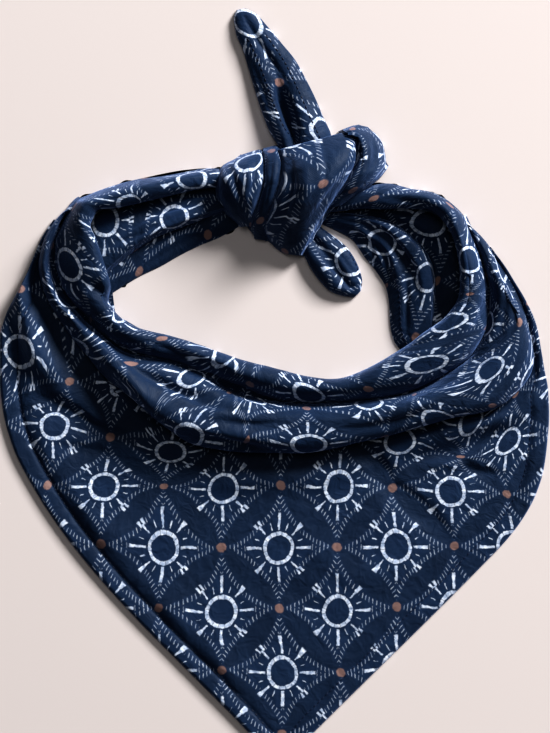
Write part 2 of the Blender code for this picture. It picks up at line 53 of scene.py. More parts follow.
MARK_REACH = 15.0  # mm, how far off a mark still pulls the print
# angle (0 is the tip's way, negative is left), then radius and height in mm of the neck edge, the
# crest and the outer foot
NECK_ROLL = (
    (-164, 58.5, 7.5, 63, 11, 68, 0),
    (-157, 60.8, 8.5, 66.5, 13, 71.5, 0),
    (-150, 63.5, 9.5, 69.7, 15.5, 75.2, 0),
    (-138, 69.5, 10.5, 76.5, 18, 83.2, 0),
    (-128, 78, 11.5, 86, 19.5, 93.4, 0),
    (-122, 86, 13, 93.5, 20, 100.6, 0),
    (-118, 93.5, 14, 99.5, 20.5, 105.5, 0),
    (-114, 93.5, 14, 98.5, 20.5, 107.2, 0),
    (-110, 88, 14, 92.5, 20.5, 108.3, 0),
    (-102, 80, 13.5, 84.5, 20, 108.3, 2.5),
    (-94, 75.1, 11, 80, 18.5, 103.3, 4),
    (-86, 73.6, 2, 79, 16.5, 92.5, 3.5),
    (-78, 64.9, 0, 71.5, 14.5, 82.8, 3),
    (-68, 50, 0, 58, 13, 71.2, 3),
    (-57, 40.2, 0, 47, 12.5, 55.5, 3),
    (-45, 35.1, 0, 41, 12.5, 48.5, 2.5),
    (-30, 32.2, 0, 37.6, 12.5, 44, 2.5),
    (-15, 31.5, 0, 37.4, 13, 44, 2.5),
    (0, 32.5, 0, 38.8, 13.5, 47.5, 2.5),
    (15, 36.1, 0, 43, 14, 53, 2.5),
    (30, 43.9, 0, 50.5, 14.5, 59.5, 2.5),
    (45, 55.2, 0, 61, 16, 71, 2.5),
    (57, 62.5, 0.5, 70, 18, 85, 2.5),
    (67, 70, 4.5, 79, 19.5, 97, 3),
    (76, 80, 10, 88.5, 20.5, 108.5, 3),
    (84, 91, 11.5, 97.5, 21, 113, 3),
    (92, 98, 12, 103, 21, 113.5, 3),
    (100, 99.4, 12, 103.5, 21, 111.6, 2.5),
    (107, 99.8, 12, 103.6, 20.5, 109.6, 1),
    (112, 98.8, 11.5, 103.4, 20, 109.2, 0),
    (117, 95, 11, 101, 19, 106.2, 0),
    (122, 85.5, 10, 95.5, 17.5, 101, 0),
    (127, 75, 9, 86, 15.5, 92.6, 0),
    (133, 66.5, 7.5, 76.5, 13, 85.5, 0),
    (139, 58.5, 6.8, 67, 11, 74, 0),
    (144, 53.5, 6.2, 60, 9.8, 66.5, 0),
)
# Creases: depth (a ridge is positive), reach to the left and to the right of the way the crease
# runs, then its points as x and y, all mm from the origin
NECK_CREASES = (
    (-3, 3, 1.6, (-104, 86), (-113, 73), (-112, 59), (-106, 43), (-96, 34), (-84, 29)),
    (-3.4, 4, 3, (-93, 50), (-86, 46), (-79, 40)),
    (-2, 3, 2, (-62, 22), (-48, 16), (-34, 11), (-20, 7)),
    (1, 3.5, 3.5, (-70, 28), (-54, 24), (-40, 20)),
    (-2, 2, 4.5, (104, 62), (107, 46), (102, 30), (92, 20), (84, 12), (75, 5)),
    (-1.5, 2.2, 1.4, (-92, 30), (-80, 20), (-66, 14), (-50, 8)),
    (-2.6, 1.8, 4, (53, 9), (70, 20), (82, 25), (92, 36), (96, 48), (96, 62), (94, 74), (90, 83)),
    (1.2, 3, 3, (60, 14), (78, 28), (86, 40)),
    (-1.2, 2.5, 2.5, (-64, 103), (-52, 107), (-38, 109)),
    (-1.4, 2.5, 2, (56, 93), (72, 90), (84, 84)),
)
# Where the print shows: x and y in mm, then 0 for a sun and 1 for a dot, or else its column and row
# in the repeat
NECK_MARKS = (
    (-103, 60.3, 0), (-55.8, 24.5, 1), (-12.5, 1, 1), (17.2, -4.6, 0), (75.5, 11.3, 0),
    (86, 31.5, 0), (97.2, 62, 0), (87.9, 89.7, 1), (50.3, 93.5, 1), (-100.2, 90.5, 1),
    (-41.2, 104, 0), (-23, 19.5, 0),
)
# The print lies on the bias in the bands: degrees that it turns at the left and right corners
BIAS = (45.0, -45.0)
HALF_NECK = 20.0  # mm of cloth, from the neck edge to the middle line that the print turns about


def linear(colour, alpha=1.0):
    """An sRGB hex colour as the linear one that the shader reads."""
    parts = [int(colour[i:i + 2], 16) / 255 for i in (1, 3, 5)]
    return (*[p / 12.92 if p <= 0.04045 else ((p + 0.055) / 1.055) ** 2.4 for p in parts], alpha)


def put(tree, kind, wires, **settings):
    """Adds a node, with its settings, and its sockets set or linked. Gives its first output."""
    node = tree.nodes.new(kind)
    for key, value in settings.items():
        setattr(node, key, value)
    for key, value in wires.items():
        if isinstance(value, bpy.types.NodeSocket):
            tree.links.new(value, node.inputs[key])
        else:
            node.inputs[key].default_value = value
    return node.outputs[0] if node.outputs else None


def empty_material(name):
    """A new material with nothing in its node tree."""
    made = bpy.data.materials.new(name)
    made.use_nodes = True
    made.node_tree.nodes.clear()
    return made


# Quilting cotton in plain weave, piece-dyed navy and then printed by hand with a pale, watery
# pigment: matt, a little sheen on the crests, and a white that lets some navy through. The repeat
# is a sun at every second place of a checkerboard and a dusty brown dot at the others, over the
# old overlapping-circles lattice whose leaves are left plain.
PITCH = (29.2, 30.6)  # mm, from one place of the checkerboard to the next
RING = (6.85, 7.5, 0.87)  # mm, radii of the ring along both ways and half its width
HALF_BEAD = math.pi / 16  # half of the turn from one nick in the ring to the next
NICK = (0.045, 0.012, 0.5)  # radians from its middle where it starts and ends; the ink left in it
# A sun's rays in one quarter: bearing, from and to in mm, half width at both ends, and whether it
# is in every quarter (0) or in those on one slant (1 or -1)
RAYS = (
    (0, 8.6, 16.4, 0.50, 0.72, 0),
    (90, 9.2, 17.4, 0.50, 0.72, 0),
    (46, 9.4, 13.4, 0.28, 0.50, 1),
    (46, 13.0, 16.6, 0.75, 1.15, 1),
    (46, 9.4, 14.4, 0.30, 0.50, -1),
    (42, 13.6, 16.8, 0.40, 0.62, -1),
    (50.5, 13.6, 16.8, 0.40, 0.62, -1),
    (22, 10.2, 12.6, 0.12, 0.12, 0),
    (69, 9.6, 13.0, 0.14, 0.12, 0),
)
LEAF_RADIUS, LEAF_HALF = 45.2, 5.25  # mm, the arc of a leaf's side and half the leaf's width
TICK_PITCH, TICK_LEAN = 2.05, 0.45  # mm, and mm along for each mm away from the leaf
TICK = (0.06, 0.42, 0.62)  # mm from its middle where the ink is full and where it ends; its strength
NEAR_ROW, FAR_ROW = (1.7, 1.1), (4.7, 0.9)  # mm from the leaf to the row's middle, half its height
ROW_INK = 0.8
RAY_CLEAR, DOT_CLEAR, FAR_ROW_END = (1.6, 2.2), (3.2, 3.8), (11.5, 13.0)  # mm, where ticks fade
DOT = (1.9, 2.7, 0.9)  # mm from its middle where its colour is full and where it ends; strength
# The soft edge of the ink, in mm past the drawn edge: where it is full and where it ends
RING_EDGE, RAY_EDGE, RAY_END, ROW_EDGE = (-0.2, 0.25), (-0.2, 0.28), (-0.5, 0.3), (-0.25, 0.2)
# The hand of the printer, a slow wander of the lines and a quick quiver of their edges: noise
# scale a mm, its detail, and the sway in mm
HAND = ((0.075, 1.0, 2.6), (0.85, 2.0, 0.9))
# Noise scales, a mm: the brushed line's width, the dye, the watery ink and the crumples
BRUSH, DYE, WATER, CRUMPLE = 0.3, 0.06, 0.42, 0.16
WEAVE_PITCH = 0.9  # mm

cotton = empty_material("hand_printed_navy_cotton")
cotton_tree = cotton.node_tree


def maths(operation, *values):
    """Adds a Math node on these values to the cotton's tree. Gives its output."""
    return put(cotton_tree, "ShaderNodeMath", dict(enumerate(values)), operation=operation)


def vectors(operation, *values):
    """Adds a Vector Math node there. Gives the output that its operation fills."""
    made = put(cotton_tree, "ShaderNodeVectorMath", dict(enumerate(values)), operation=operation)
    return made.node.outputs["Value" if operation in ("LENGTH", "DOT_PRODUCT") else "Vector"]


def ramp(value, start, end, low, high, ease="LINEAR"):
    """Adds a Map Range node there, from low at start to high at end. Gives its output."""
    return put(cotton_tree, "ShaderNodeMapRange", {
        "Value": value, "From Min": start, "From Max": end, "To Min": low, "To Max": high},
        interpolation_type=ease)


def mix(share, first, second):
    """Adds a Mix node on two colours there. Gives the mixed one."""
    return put(cotton_tree, "ShaderNodeMix", {"Factor": share, 6: first, 7: second},
               data_type="RGBA").node.outputs[2]


def noise(scale, detail, **more):
    """Adds a Noise node there on the flat cloth, with its scale a mm. Gives its value."""
    wires = {"Vector": flat, "Scale": scale, "Detail": detail, **more}
    return put(cotton_tree, "ShaderNodeTexNoise", wires)


cloth_uv = put(cotton_tree, "ShaderNodeUVMap", {}, uv_map="cloth")
flat = put(cotton_tree, "ShaderNodeVectorMath", {0: cloth_uv, "Scale": 1 / MM}, operation="SCALE")
moved = flat
for scale, detail, sway in HAND:
    drift = noise(scale, detail).node.outputs["Color"]
    drift = vectors("MULTIPLY_ADD", drift, (sway, sway, 0.0), (-sway / 2, -sway / 2, 0.0))
    moved = vectors("ADD", moved, drift)
# Folded into one quarter of one sun
split = put(cotton_tree, "ShaderNodeSeparateXYZ", {0: moved}).node
x, y = (maths("WRAP", split.outputs[i], PITCH[i], -PITCH[i]) for i in (0, 1))
slant = maths("GREATER_THAN", maths("MULTIPLY", x, y), 0.0)
slant_not = maths("SUBTRACT", 1.0, slant)
x, y = (maths("ABSOLUTE", a) for a in (x, y))
shares = maths("ADD", *(maths("DIVIDE", a, pitch) for a, pitch in zip((x, y), PITCH)))
beyond = maths("GREATER_THAN", shares, 1.0)
x, y = (maths("SUBTRACT", maths("MULTIPLY", beyond, pitch), a) for a, pitch in zip((x, y), PITCH))
x, y = (maths("ABSOLUTE", a) for a in (x, y))
point = put(cotton_tree, "ShaderNodeCombineXYZ", {0: x, 1: y, 2: 0.0})
# The ring, with dark nicks that part it into beads
squeezed = vectors("MULTIPLY", point, (1 / RING[0], 1 / RING[1], 0.0))
off_ring = maths("SUBTRACT", vectors("LENGTH", squeezed), 1.0)
off_ring = maths("MULTIPLY", maths("ABSOLUTE", off_ring), sum(RING[:2]) / 2)
thick = ramp(noise(BRUSH, 2.0), 0.3, 0.7, -0.18, 0.22)  # mm, how much wider each line is there
off_ring = maths("SUBTRACT", off_ring, thick)
ring = ramp(off_ring, RING[2] + RING_EDGE[0], RING[2] + RING_EDGE[1], 1.0, 0.0, "SMOOTHSTEP")
bearing = maths("ARCTAN2", y, x)
nick = maths("ABSOLUTE", maths("WRAP", bearing, HALF_BEAD, -HALF_BEAD))
nick = ramp(nick, HALF_BEAD - NICK[0], HALF_BEAD - NICK[1], 1.0, NICK[2])
ink = maths("MULTIPLY", ring, nick)
# The rays
for ray_bearing, start, end, half_in, half_out, side in RAYS:
    turn = math.radians(ray_bearing)
    along = vectors("DOT_PRODUCT", point, (math.cos(turn), math.sin(turn), 0.0))
    across = vectors("DOT_PRODUCT", point, (-math.sin(turn), math.cos(turn), 0.0))
    half = ramp(along, start, end, half_in, half_out)
    outside = maths("SUBTRACT", maths("ABSOLUTE", across), half)
    body = ramp(maths("SUBTRACT", outside, thick), *RAY_EDGE, 1.0, 0.0, "SMOOTHSTEP")
    past = maths("ABSOLUTE", maths("SUBTRACT", along, (start + end) / 2))
    ends = [(end - start) / 2 + more for more in RAY_END]
    body = maths("MULTIPLY", body, ramp(past, *ends, 1.0, 0.0, "SMOOTHSTEP"))
    if side:
        body = maths("MULTIPLY", body, slant if side > 0 else slant_not)
    ink = maths("MAXIMUM", ink, body)
# The rows of ticks along the leaves, from dot to dot
half_side = math.hypot(*PITCH) / 2
reach = LEAF_RADIUS - LEAF_HALF
leaf_centre = (PITCH[0] / 2 + PITCH[1] / 2 / half_side * reach,
               PITCH[1] / 2 + PITCH[0] / 2 / half_side * reach, 0.0)
from_leaf = vectors("SUBTRACT", point, leaf_centre)
leaf_off = maths("SUBTRACT", vectors("LENGTH", from_leaf), LEAF_RADIUS)
split = put(cotton_tree, "ShaderNodeSeparateXYZ", {0: from_leaf}).node
arc = maths("ARCTAN2", split.outputs["X"], split.outputs["Y"])
arc = maths("MULTIPLY", arc, LEAF_RADIUS)
arc = maths("ADD", arc, maths("MULTIPLY", leaf_off, TICK_LEAN))
tick = maths("ABSOLUTE", maths("WRAP", arc, TICK_PITCH / 2, -TICK_PITCH / 2))
tick = ramp(tick, *TICK, 0.0, "SMOOTHSTEP")
dots = [vectors("SUBTRACT", point, place) for place in ((PITCH[0], 0, 0), (0, PITCH[1], 0))]
dot_off = maths("MINIMUM", *(vectors("LENGTH", a) for a in dots))
diagonal = math.atan2(PITCH[0], PITCH[1]) + math.radians(2)  # the slanting rays' bearing
beside = vectors("DOT_PRODUCT", point, (-math.sin(diagonal), math.cos(diagonal), 0.0))
clear_of_ray = ramp(maths("ABSOLUTE", beside), *RAY_CLEAR, 0.0, 1.0)
clear_of_dot = ramp(dot_off, *DOT_CLEAR, 0.0, 1.0)
near_dot = ramp(dot_off, *FAR_ROW_END, 1.0, 0.0)
for (middle, half_row), where in ((NEAR_ROW, clear_of_ray), (FAR_ROW, near_dot)):
    row = maths("ABSOLUTE", maths("SUBTRACT", leaf_off, middle))
    row = ramp(row, half_row + ROW_EDGE[0], half_row + ROW_EDGE[1], ROW_INK, 0.0)
    for also in (tick, where, clear_of_dot):
        row = maths("MULTIPLY", row, also)
    ink = maths("MAXIMUM", ink, row)
dot = ramp(dot_off, *DOT, 0.0, "SMOOTHSTEP")
# Navy, a touch lighter round the suns than in the leaves, and uneven as dye is
dye = ramp(noise(DYE, 3.0), 0.3, 0.7, 0.86, 1.14)
navy = mix(ramp(leaf_off, -0.3, 0.4, 0.0, 1.0), linear("#1b2b41"), linear("#1e3049"))
navy = put(cotton_tree, "ShaderNodeVectorMath", {0: navy, "Scale": dye}, operation="SCALE")
# The white is thin where the ink ran watery
water = noise(WATER, 3.0)
white = mix(ramp(water, 0.35, 0.68, 0.0, 1.0), linear("#9eadc6"), linear("#dae0ea"))
cover = maths("MULTIPLY", ramp(water, 0.3, 0.6, 0.8, 1.0), ink)
colour = mix(cover, navy, white)
colour = mix(dot, colour, linear("#856b64"))
# The weave: real threads lie 0.35 mm apart, drawn coarser so that they show, and the small
# crumples of washed cotton, 3 to 8 mm long
split = put(cotton_tree, "ShaderNodeSeparateXYZ", {0: flat}).node
threads = [maths("MULTIPLY", split.outputs[i], 2 * math.pi / WEAVE_PITCH) for i in (0, 1)]
woven = maths("MULTIPLY", *(maths("SINE", a) for a in threads))
crumple = noise(CRUMPLE, 4.0, Roughness=0.55, Distortion=0.6)
height = maths("MULTIPLY_ADD", woven, 0.025, crumple)
bump = put(cotton_tree, "ShaderNodeBump", {"Strength": 0.6, "Distance": 1.7 * MM, "Height": height})
cotton_shader = put(cotton_tree, "ShaderNodeBsdfPrincipled", {
    "Base Color": colour, "Roughness": ramp(cover, 0.0, 1.0, 0.52, 0.6),
    "Specular IOR Level": 0.1, "Normal": bump,
    "Sheen Weight": 0.55, "Sheen Roughness": 0.48, "Sheen Tint": linear("#7c96c8")})
put(cotton_tree, "ShaderNodeOutputMaterial", {"Surface": cotton_shader})


def smooth(xs, ys, x):
    """Reads a table column at x, along a cubic curve that never swings past its rows."""
    xs, ys, x = (np.asarray(a, float) for a in (xs, ys, x))
    step = np.diff(xs)
    slope = np.diff(ys) / step
    before, after = slope[:-1], slope[1:]
    same_way = before * after > 0
    w1, w2 = 2 * step[1:] + step[:-1], step[1:] + 2 * step[:-1]
    bottom = np.where(same_way, w1 * after + w2 * before, 1.0)
    tangent = np.zeros_like(ys)
    tangent[1:-1] = np.where(same_way, (w1 + w2) * before * after / bottom, 0.0)
    tangent[0], tangent[-1] = slope[0], slope[-1]
    i = np.clip(np.searchsorted(xs, x) - 1, 0, len(step) - 1)
    h, t = step[i], (x - xs[i]) / step[i]
    return (ys[i] * (1 + 2 * t) * (1 - t) ** 2 + tangent[i] * h * t * (1 - t) ** 2
            + ys[i + 1] * t * t * (3 - 2 * t) + tangent[i + 1] * h * t * t * (t - 1))


def columns(table, at):
    """Every column of a table but the first, read at values of the first."""
    rows = np.array(table, float)
    return [smooth(rows[:, 0], rows[:, c], at) for c in range(1, rows.shape[1])]


def flank(crest, crest_height, edge, foot_height, curl, steps, fall=1.0):
    """One side of a fold, from its crest round to its foot, as radii and heights by section.

    fall is 1 for a round side that ends upright, and more for one that runs into a valley.
    """
    sweep = np.radians(90.0 + curl)[:, None] * np.linspace(0.0, 1.0, steps + 1)[None, :]
    last = np.cos(sweep[:, -1])
    centre = (foot_height - crest_height * last) / (1.0 - last)
    height = np.maximum(crest_height - centre, THINNEST)
    radii = crest[:, None] + (edge - crest)[:, None] * np.sin(sweep)
    drop = np.sign(np.cos(sweep)) * np.abs(np.cos(sweep)) ** fall
    return radii, np.maximum(centre[:, None] + height[:, None] * drop, 0.0)


def fan(angles, radii, heights):
    """Points of the sections at these angles, from radii about the neck centre and heights."""
    a = np.radians(angles)[:, None]
    x = NECK_CENTRE[0] + radii * np.sin(a)
    y = NECK_CENTRE[1] - radii * np.cos(a)
    return np.stack([x, y, heights], axis=2)


def roll(angles, inner, outer, under_neck=0.0, under_front=0.0):
    """A roll's surface from its two flanks, neck side first.

    under_neck and under_front are how far its feet reach on in under the neighbouring folds.
    """
    radii = np.concatenate([inner[0][:, ::-1], outer[0][:, 1:]], axis=1)
    heights = np.concatenate([inner[1][:, ::-1], outer[1][:, 1:]], axis=1)
    share = np.linspace(0.0, 1.0, UNDER_STEPS + 1)[1:]
    before = np.multiply.outer(np.broadcast_to(under_neck, angles.shape), share[::-1])
    after = np.multiply.outer(np.broadcast_to(under_front, angles.shape), share)
    radii = np.concatenate([radii[:, :1] - before, radii, radii[:, -1:] + after], axis=1)
    heights = np.concatenate([np.maximum(heights[:, :1] - UNDER_SLOPE * before, 0.0), heights,
                              np.maximum(heights[:, -1:] - UNDER_SLOPE * after, 0.0)], axis=1)
    return fan(angles, radii, heights)


def trace(path, steps):
    """Points at even distances along a smooth curve through the points of a path."""
    path = np.array(path, float)
    run = np.concatenate([[0.0], np.cumsum(np.hypot(*np.diff(path, axis=0).T))])
    at = np.linspace(0.0, run[-1], steps)
    return np.stack([smooth(run, path[:, c], at) for c in (0, 1)], axis=1)


def press(places, creases):
    """Presses soft troughs and raises ridges along a sheet's own normal."""
    along, across = np.gradient(places, axis=0), np.gradient(places, axis=1)
    normal = np.cross(across, along)
    normal /= np.maximum(np.linalg.norm(normal, axis=2, keepdims=True), 1e-9)
    normal *= np.sign(normal[..., 2].mean())
    plan = places[..., :2].reshape(-1, 2)
    height = np.zeros(len(plan))
    for depth, left, right, *path in creases:
        line = trace(path, CREASE_STEPS)
        way = np.gradient(line, axis=0)
        off = plan[:, None, :] - line[None, :, :]
        away = np.hypot(off[..., 0], off[..., 1])
        near = away.argmin(axis=1)
        rows = np.arange(len(plan))
        side = way[near, 0] * off[rows, near, 1] - way[near, 1] * off[rows, near, 0]
        width = np.where(side > 0, left, right)
        # A crease comes out of the cloth and runs out in it again
        fade = np.sin(math.pi * (near / (CREASE_STEPS - 1) * 0.92 + 0.04)) ** 0.7
        height += depth * fade * np.exp(-((away[rows, near] / width) ** 2))
    return places + normal * height.reshape(places.shape[:2])[..., None]


def run_lengths(places, axis):
    """How far along the cloth each point of a grid is, in mm, along one of its ways."""
    gaps = np.linalg.norm(np.diff(places, axis=axis), axis=2)
    start = np.zeros_like(np.take(gaps, [0], axis=axis))
    return np.cumsum(np.concatenate([start, gaps], axis=axis), axis=axis)


def lay_print(places, base, marks, turn=0.0):
    """The place of each point on the flat printed cloth, in mm of the repeat.

    base is the cloth laid out along its own lengths. Each mark of the print takes the nearest
    place of the repeat that is of its kind, and pulls the cloth round it there.
    """
    c, s = math.cos(math.radians(turn)), math.sin(math.radians(turn))
    flat = base.reshape(-1, 2) @ np.array([[c, s], [-s, c]])
    plan, top = places[..., :2].reshape(-1, 2), places[..., 2].ravel()
    picks, misses = [], []
    for x, y, kind, *fixed in marks:
        away = np.hypot(plan[:, 0] - x, plan[:, 1] - y)
        pick = int(np.argmin(away - 0.15 * top))  # of points that lie over each other, the top one
        guess = flat[pick].copy()
        if fixed:
            place = (kind, *fixed)
        elif picks:
            near = np.hypot(*(flat[picks] - flat[pick]).T) / MARK_REACH
            weight = np.exp(-(near - near.min()))
            guess = guess + (weight @ np.array(misses)) / weight.sum()
            column, row = guess[0] / PITCH[0], guess[1] / PITCH[1]
            choices = [(i, j) for i in range(math.floor(column) - 1, math.ceil(column) + 2)
                       for j in range(math.floor(row) - 1, math.ceil(row) + 2)
                       if (i + j) % 2 == kind]
            place = min(choices, key=lambda p: math.hypot((p[0] - column) * PITCH[0],
                                                          (p[1] - row) * PITCH[1]))
        else:
            place = (kind, 0)
        picks.append(pick)
        misses.append(np.array(place) * np.array(PITCH) - flat[pick])
    away = np.hypot(flat[:, None, 0] - flat[None, picks, 0], flat[:, None, 1] - flat[None, picks, 1])
    closeness = (away / MARK_REACH) ** 2
    weight = np.exp(-(closeness - closeness.min(axis=1, keepdims=True)))
    weight /= weight.sum(axis=1, keepdims=True)
    pull = np.array(misses)
    for _ in range(3):  # brings the marks nearer to where they should lie
        pull = pull + np.array(misses) - weight[picks] @ pull
    return (flat + weight @ pull).reshape(base.shape)


def cloth(name, places, print_mm, nodes):
    """A shell of doubled cotton on a grid of places in mm, with the print's place in its UV map."""
    bpy.ops.object.select_all(action="DESELECT")
    rows, points = places.shape[:2]
    across, along = places[:, 1:] - places[:, :-1], places[1:] - places[:-1]
    if np.cross(across[:-1].reshape(-1, 3), along[:, :-1].reshape(-1, 3))[:, 2].sum() < 0:
        places, print_mm = places[::-1], print_mm[::-1]
    bpy.ops.mesh.primitive_grid_add(x_subdivisions=points - 1, y_subdivisions=rows - 1, size=1.0)
    piece = bpy.context.object
    piece.name = piece.data.name = name
    mesh = piece.data
    mesh.vertices.foreach_set("co", (places * MM).astype(np.float32).ravel())
    corner = np.empty(len(mesh.loops), np.int32)
    mesh.loops.foreach_get("vertex_index", corner)
    while mesh.uv_layers:
        mesh.uv_layers.remove(mesh.uv_layers[0])
    uv = mesh.uv_layers.new(name="cloth")
    uv.data.foreach_set("uv", (print_mm * MM).reshape(-1, 2)[corner].astype(np.float32).ravel())
    shell = piece.modifiers.new("two layers", "SOLIDIFY")
    shell.thickness, shell.offset = CLOTH * MM, -1.0
    bpy.ops.object.modifier_apply(modifier=shell.name)
    mesh = piece.data
    co = np.empty(len(mesh.vertices) * 3, np.float32)
    mesh.vertices.foreach_get("co", co)
    co = co.reshape(-1, 3)
    co[:, 2] = np.maximum(co[:, 2], 0.0)
    mesh.vertices.foreach_set("co", co.ravel())
    mesh.shade_smooth()
    mesh.materials.append(cotton)
    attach(piece, "root")
    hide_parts(*nodes)
    return piece


angles = np.arange(NECK_ROLL[0][0], NECK_ROLL[-1][0] + 0.01, NECK_TURN)
neck, neck_height, crest, crest_height, foot, foot_height = columns(NECK_ROLL, angles)
# The other side runs into the valley between the rolls, and its foot goes on under the front
# roll for as long as there is one
curl = EDGE_CURL * np.clip(1.0 - neck_height / 5.0, 0.0, 1.0)
fall = 1.6 - 0.5 * np.clip((angles[:, None] - 40) / 15, 0, 1)
under = UNDER * np.clip((angles + 112) / 6, 0, 1) * np.clip((106 - angles) / 6, 0, 1)
neck_places = roll(angles, flank(crest, crest_height, neck, neck_height, curl, NECK_STEPS),
                   flank(crest, crest_height, foot, foot_height, 0 * angles, ROLL_STEPS, fall),
                   under_front=under)
neck_places = press(neck_places, NECK_CREASES)
heading = np.radians(BIAS[0]) * np.clip((-108 - angles) / 12, 0, 1)
heading = (heading + np.radians(BIAS[1]) * np.clip((angles - 104) / 12, 0, 1))[:, None]
stretch = np.diff(run_lengths(neck_places, 0)[:, UNDER_STEPS + NECK_STEPS], prepend=0.0)[:, None]
sideways = HALF_NECK - run_lengths(neck_places, 1)
# The cloth laid out flat, turning as it goes round the two corners
neck_flat = np.stack([np.cumsum(stretch * np.cos(heading), axis=0) - sideways * np.sin(heading),
                      np.cumsum(stretch * np.sin(heading), axis=0) + sideways * np.cos(heading)],
                     axis=2)
neck_roll = cloth("neck_roll", neck_places, lay_print(neck_places, neck_flat, NECK_MARKS),
                  ["neck_roll_inner", "neck_roll_inner_right", "left_band_top", "right_band_top"])

# ---- The front roll --------------------------------------------------------------------------
# The largest fold of the same cloth, in front of the neck: it bulges over the bib and its lip
# curls under. On the right it widens and swings up beside the neck roll.
FRONT_TURN = 0.6  # degrees from one section to the next
# angle, radius and height of the crest, radius and height of the lip, degrees it curls under
FRONT_ROLL = (
    (-119, 100, 6, 102.5, 0, 0),
    (-116, 104, 6, 106.5, 0, 0),
    (-113, 107.8, 5, 109.6, 0, 0),
    (-109, 110.3, 7, 112, 1, 0),
    (-105, 110.8, 9.5, 113.4, 2.6, 0),
    (-100, 110.3, 11, 113.4, 3, 0),
    (-94, 106.6, 12, 110.5, 2, 0),
    (-86, 98, 13, 103.8, 2, 0),
    (-78, 88, 13.5, 97.5, 2, 0),
    (-68, 80, 14, 90.5, 2, 0),
    (-57, 75.5, 15, 86.5, 2, 10),
    (-45, 73, 15.5, 84.5, 2.5, 25),
    (-30, 67.5, 16, 81, 3, 45),
    (-15, 63, 16.5, 77.5, 3, 50),
    (0, 61.5, 16.5, 76.6, 3, 50),
    (15, 64, 16.5, 78.9, 3, 50),
    (30, 70, 17, 83.7, 3, 50),
    (45, 81, 17, 94.5, 3, 50),
    (57, 96, 17.5, 109.5, 3, 45),
    (67, 115, 17.5, 131.5, 3, 35),
    (76, 123, 17, 139.1, 3, 10),
    (84, 127.5, 16, 133.7, 3, 0),
    (92, 122, 14.5, 126.6, 3, 0),
    (98, 116, 12.5, 120.3, 2.5, 0),
    (104, 113, 9.5, 116, 0.5, 0),
    (109, 109.6, 5, 111, 0, 0),
    (113, 104, 5, 106.5, 0, 0),
)
FRONT_CREASES = (
    (-2.4, 4, 1.8, (-84, 21), (-62, 4), (-46, -2), (-37, -8), (-20, -12), (-5, -11.5)),
    (1.2, 5, 3, (-70, 0), (-50, -12), (-34, -20)),
    (-1.4, 3.5, 2.5, (-30, -24), (-10, -31), (12, -33)),
    (-1.6, 3, 3, (60, -8), (78, 2), (92, 8)),
    (-1.4, 2.6, 4, (-107, 55), (-104, 34), (-96, 18), (-84, 6)),
    (-1.8, 2.4, 3.6, (118, 24), (120, 40), (114, 58)),
    (-1.2, 4, 2, (88, -12), (108, -2), (124, 14)),
    (-4, 3, 5, (-35, 9), (-26, 4), (-17, -0.5), (-8, -3.5), (1, -5.5)),
    (-2.8, 1.4, 3, (-64, 7), (-56, 3), (-48, -1), (-41, -3.5), (-33, -4)),
    (-4.5, 6, 5, (-84, 2), (-75, -8), (-67, -17), (-57, -24), (-47, -27)),
    (2.2, 3.5, 3, (-82, 12), (-73, 5), (-66, -4), (-59, -14)),
    (-3.2, 2, 3, (-41, -23), (-30, -26), (-17, -29), (-6, -30)),
    (1.8, 3.5, 3.5, (-36, -17), (-20, -10), (-5, -8)),
    (-1.8, 1.6, 2.6, (-27, -17), (-12, -19), (4, -18)),
    (2.6, 5, 5, (-86, 20), (-78, 8), (-66, -5), (-49, -18), (-24, -25.5), (2, -28), (32, -26)),
    (-2.4, 6.5, 2, (109, 62), (115, 46), (111, 27), (100, 14), (90, 5), (80, -2)),
    (-1.8, 1.8, 3.2, (30, -22), (48, -20), (66, -16), (84, -7)),
    (1.4, 3, 3, (58, -12), (76, -8), (94, 2)),
)
FRONT_MARKS = (
    (17.2, -29.4, 0, 0), (15.8, -11.3, 0, 1), (47, -8, 1, 1), (81, -17, 2, 0),
    (107.8, 9.5, 3, 1), (108.9, -10.1, 3, 0), (121.8, 31.5, 4, 1), (127.8, 3, 4, 0),
    (106.5, 30.5, 4, 2), (-40.8, 4.5, -3, 1), (-43.1, -24.6, -2, 0), (-71.8, 10.6, -4, 1),
    (-76.3, -9.5, -4, 0), (-100.4, 18, -5, 1),
)

angles = np.arange(FRONT_ROLL[0][0], FRONT_ROLL[-1][0] + 0.01, FRONT_TURN)
crest, crest_height, lip, lip_height, curl = columns(FRONT_ROLL, angles)
valley, valley_height = columns(NECK_ROLL, angles)[4:6]
fall = 1.5 - 0.3 * np.clip((angles[:, None] - 40) / 15, 0, 1)
front_places = roll(
    angles, flank(crest, crest_height, valley, valley_height, 0 * angles, ROLL_STEPS, fall),
    flank(crest, crest_height, lip, lip_height, curl, ROLL_STEPS), under_neck=UNDER)
front_places = press(front_places, FRONT_CREASES)
front_flat = np.stack([run_lengths(front_places, 0), -run_lengths(front_places, 1)], axis=2)
# Each section of the cloth is as far along as its point on the crest is
front_flat[..., 0] = front_flat[:, [UNDER_STEPS + ROLL_STEPS], 0]
front_roll = cloth("front_roll", front_places, lay_print(front_places, front_flat, FRONT_MARKS),
                   ["neck_roll_outer", "neck_roll_outer_right"])

# ---- The bib ---------------------------------------------------------------------------------
# The point of the triangle, lying flat on the table from under the front roll's lip. The two
# layers are seamed, turned out, pressed and topstitched 9 mm in, so the edge is a padded hem.
HEM_WIDTH, HEM_RISE, HEM_ROUND = 9.0, 1.0, 0.84  # mm, mm, and the share where its edge rounds off
# Its puckers: mm of rise, and mm along the edge for a radian of the wave
PUCKER, PUCKER_LENGTH = (0.16, 0.10), (3.1, 1.9)
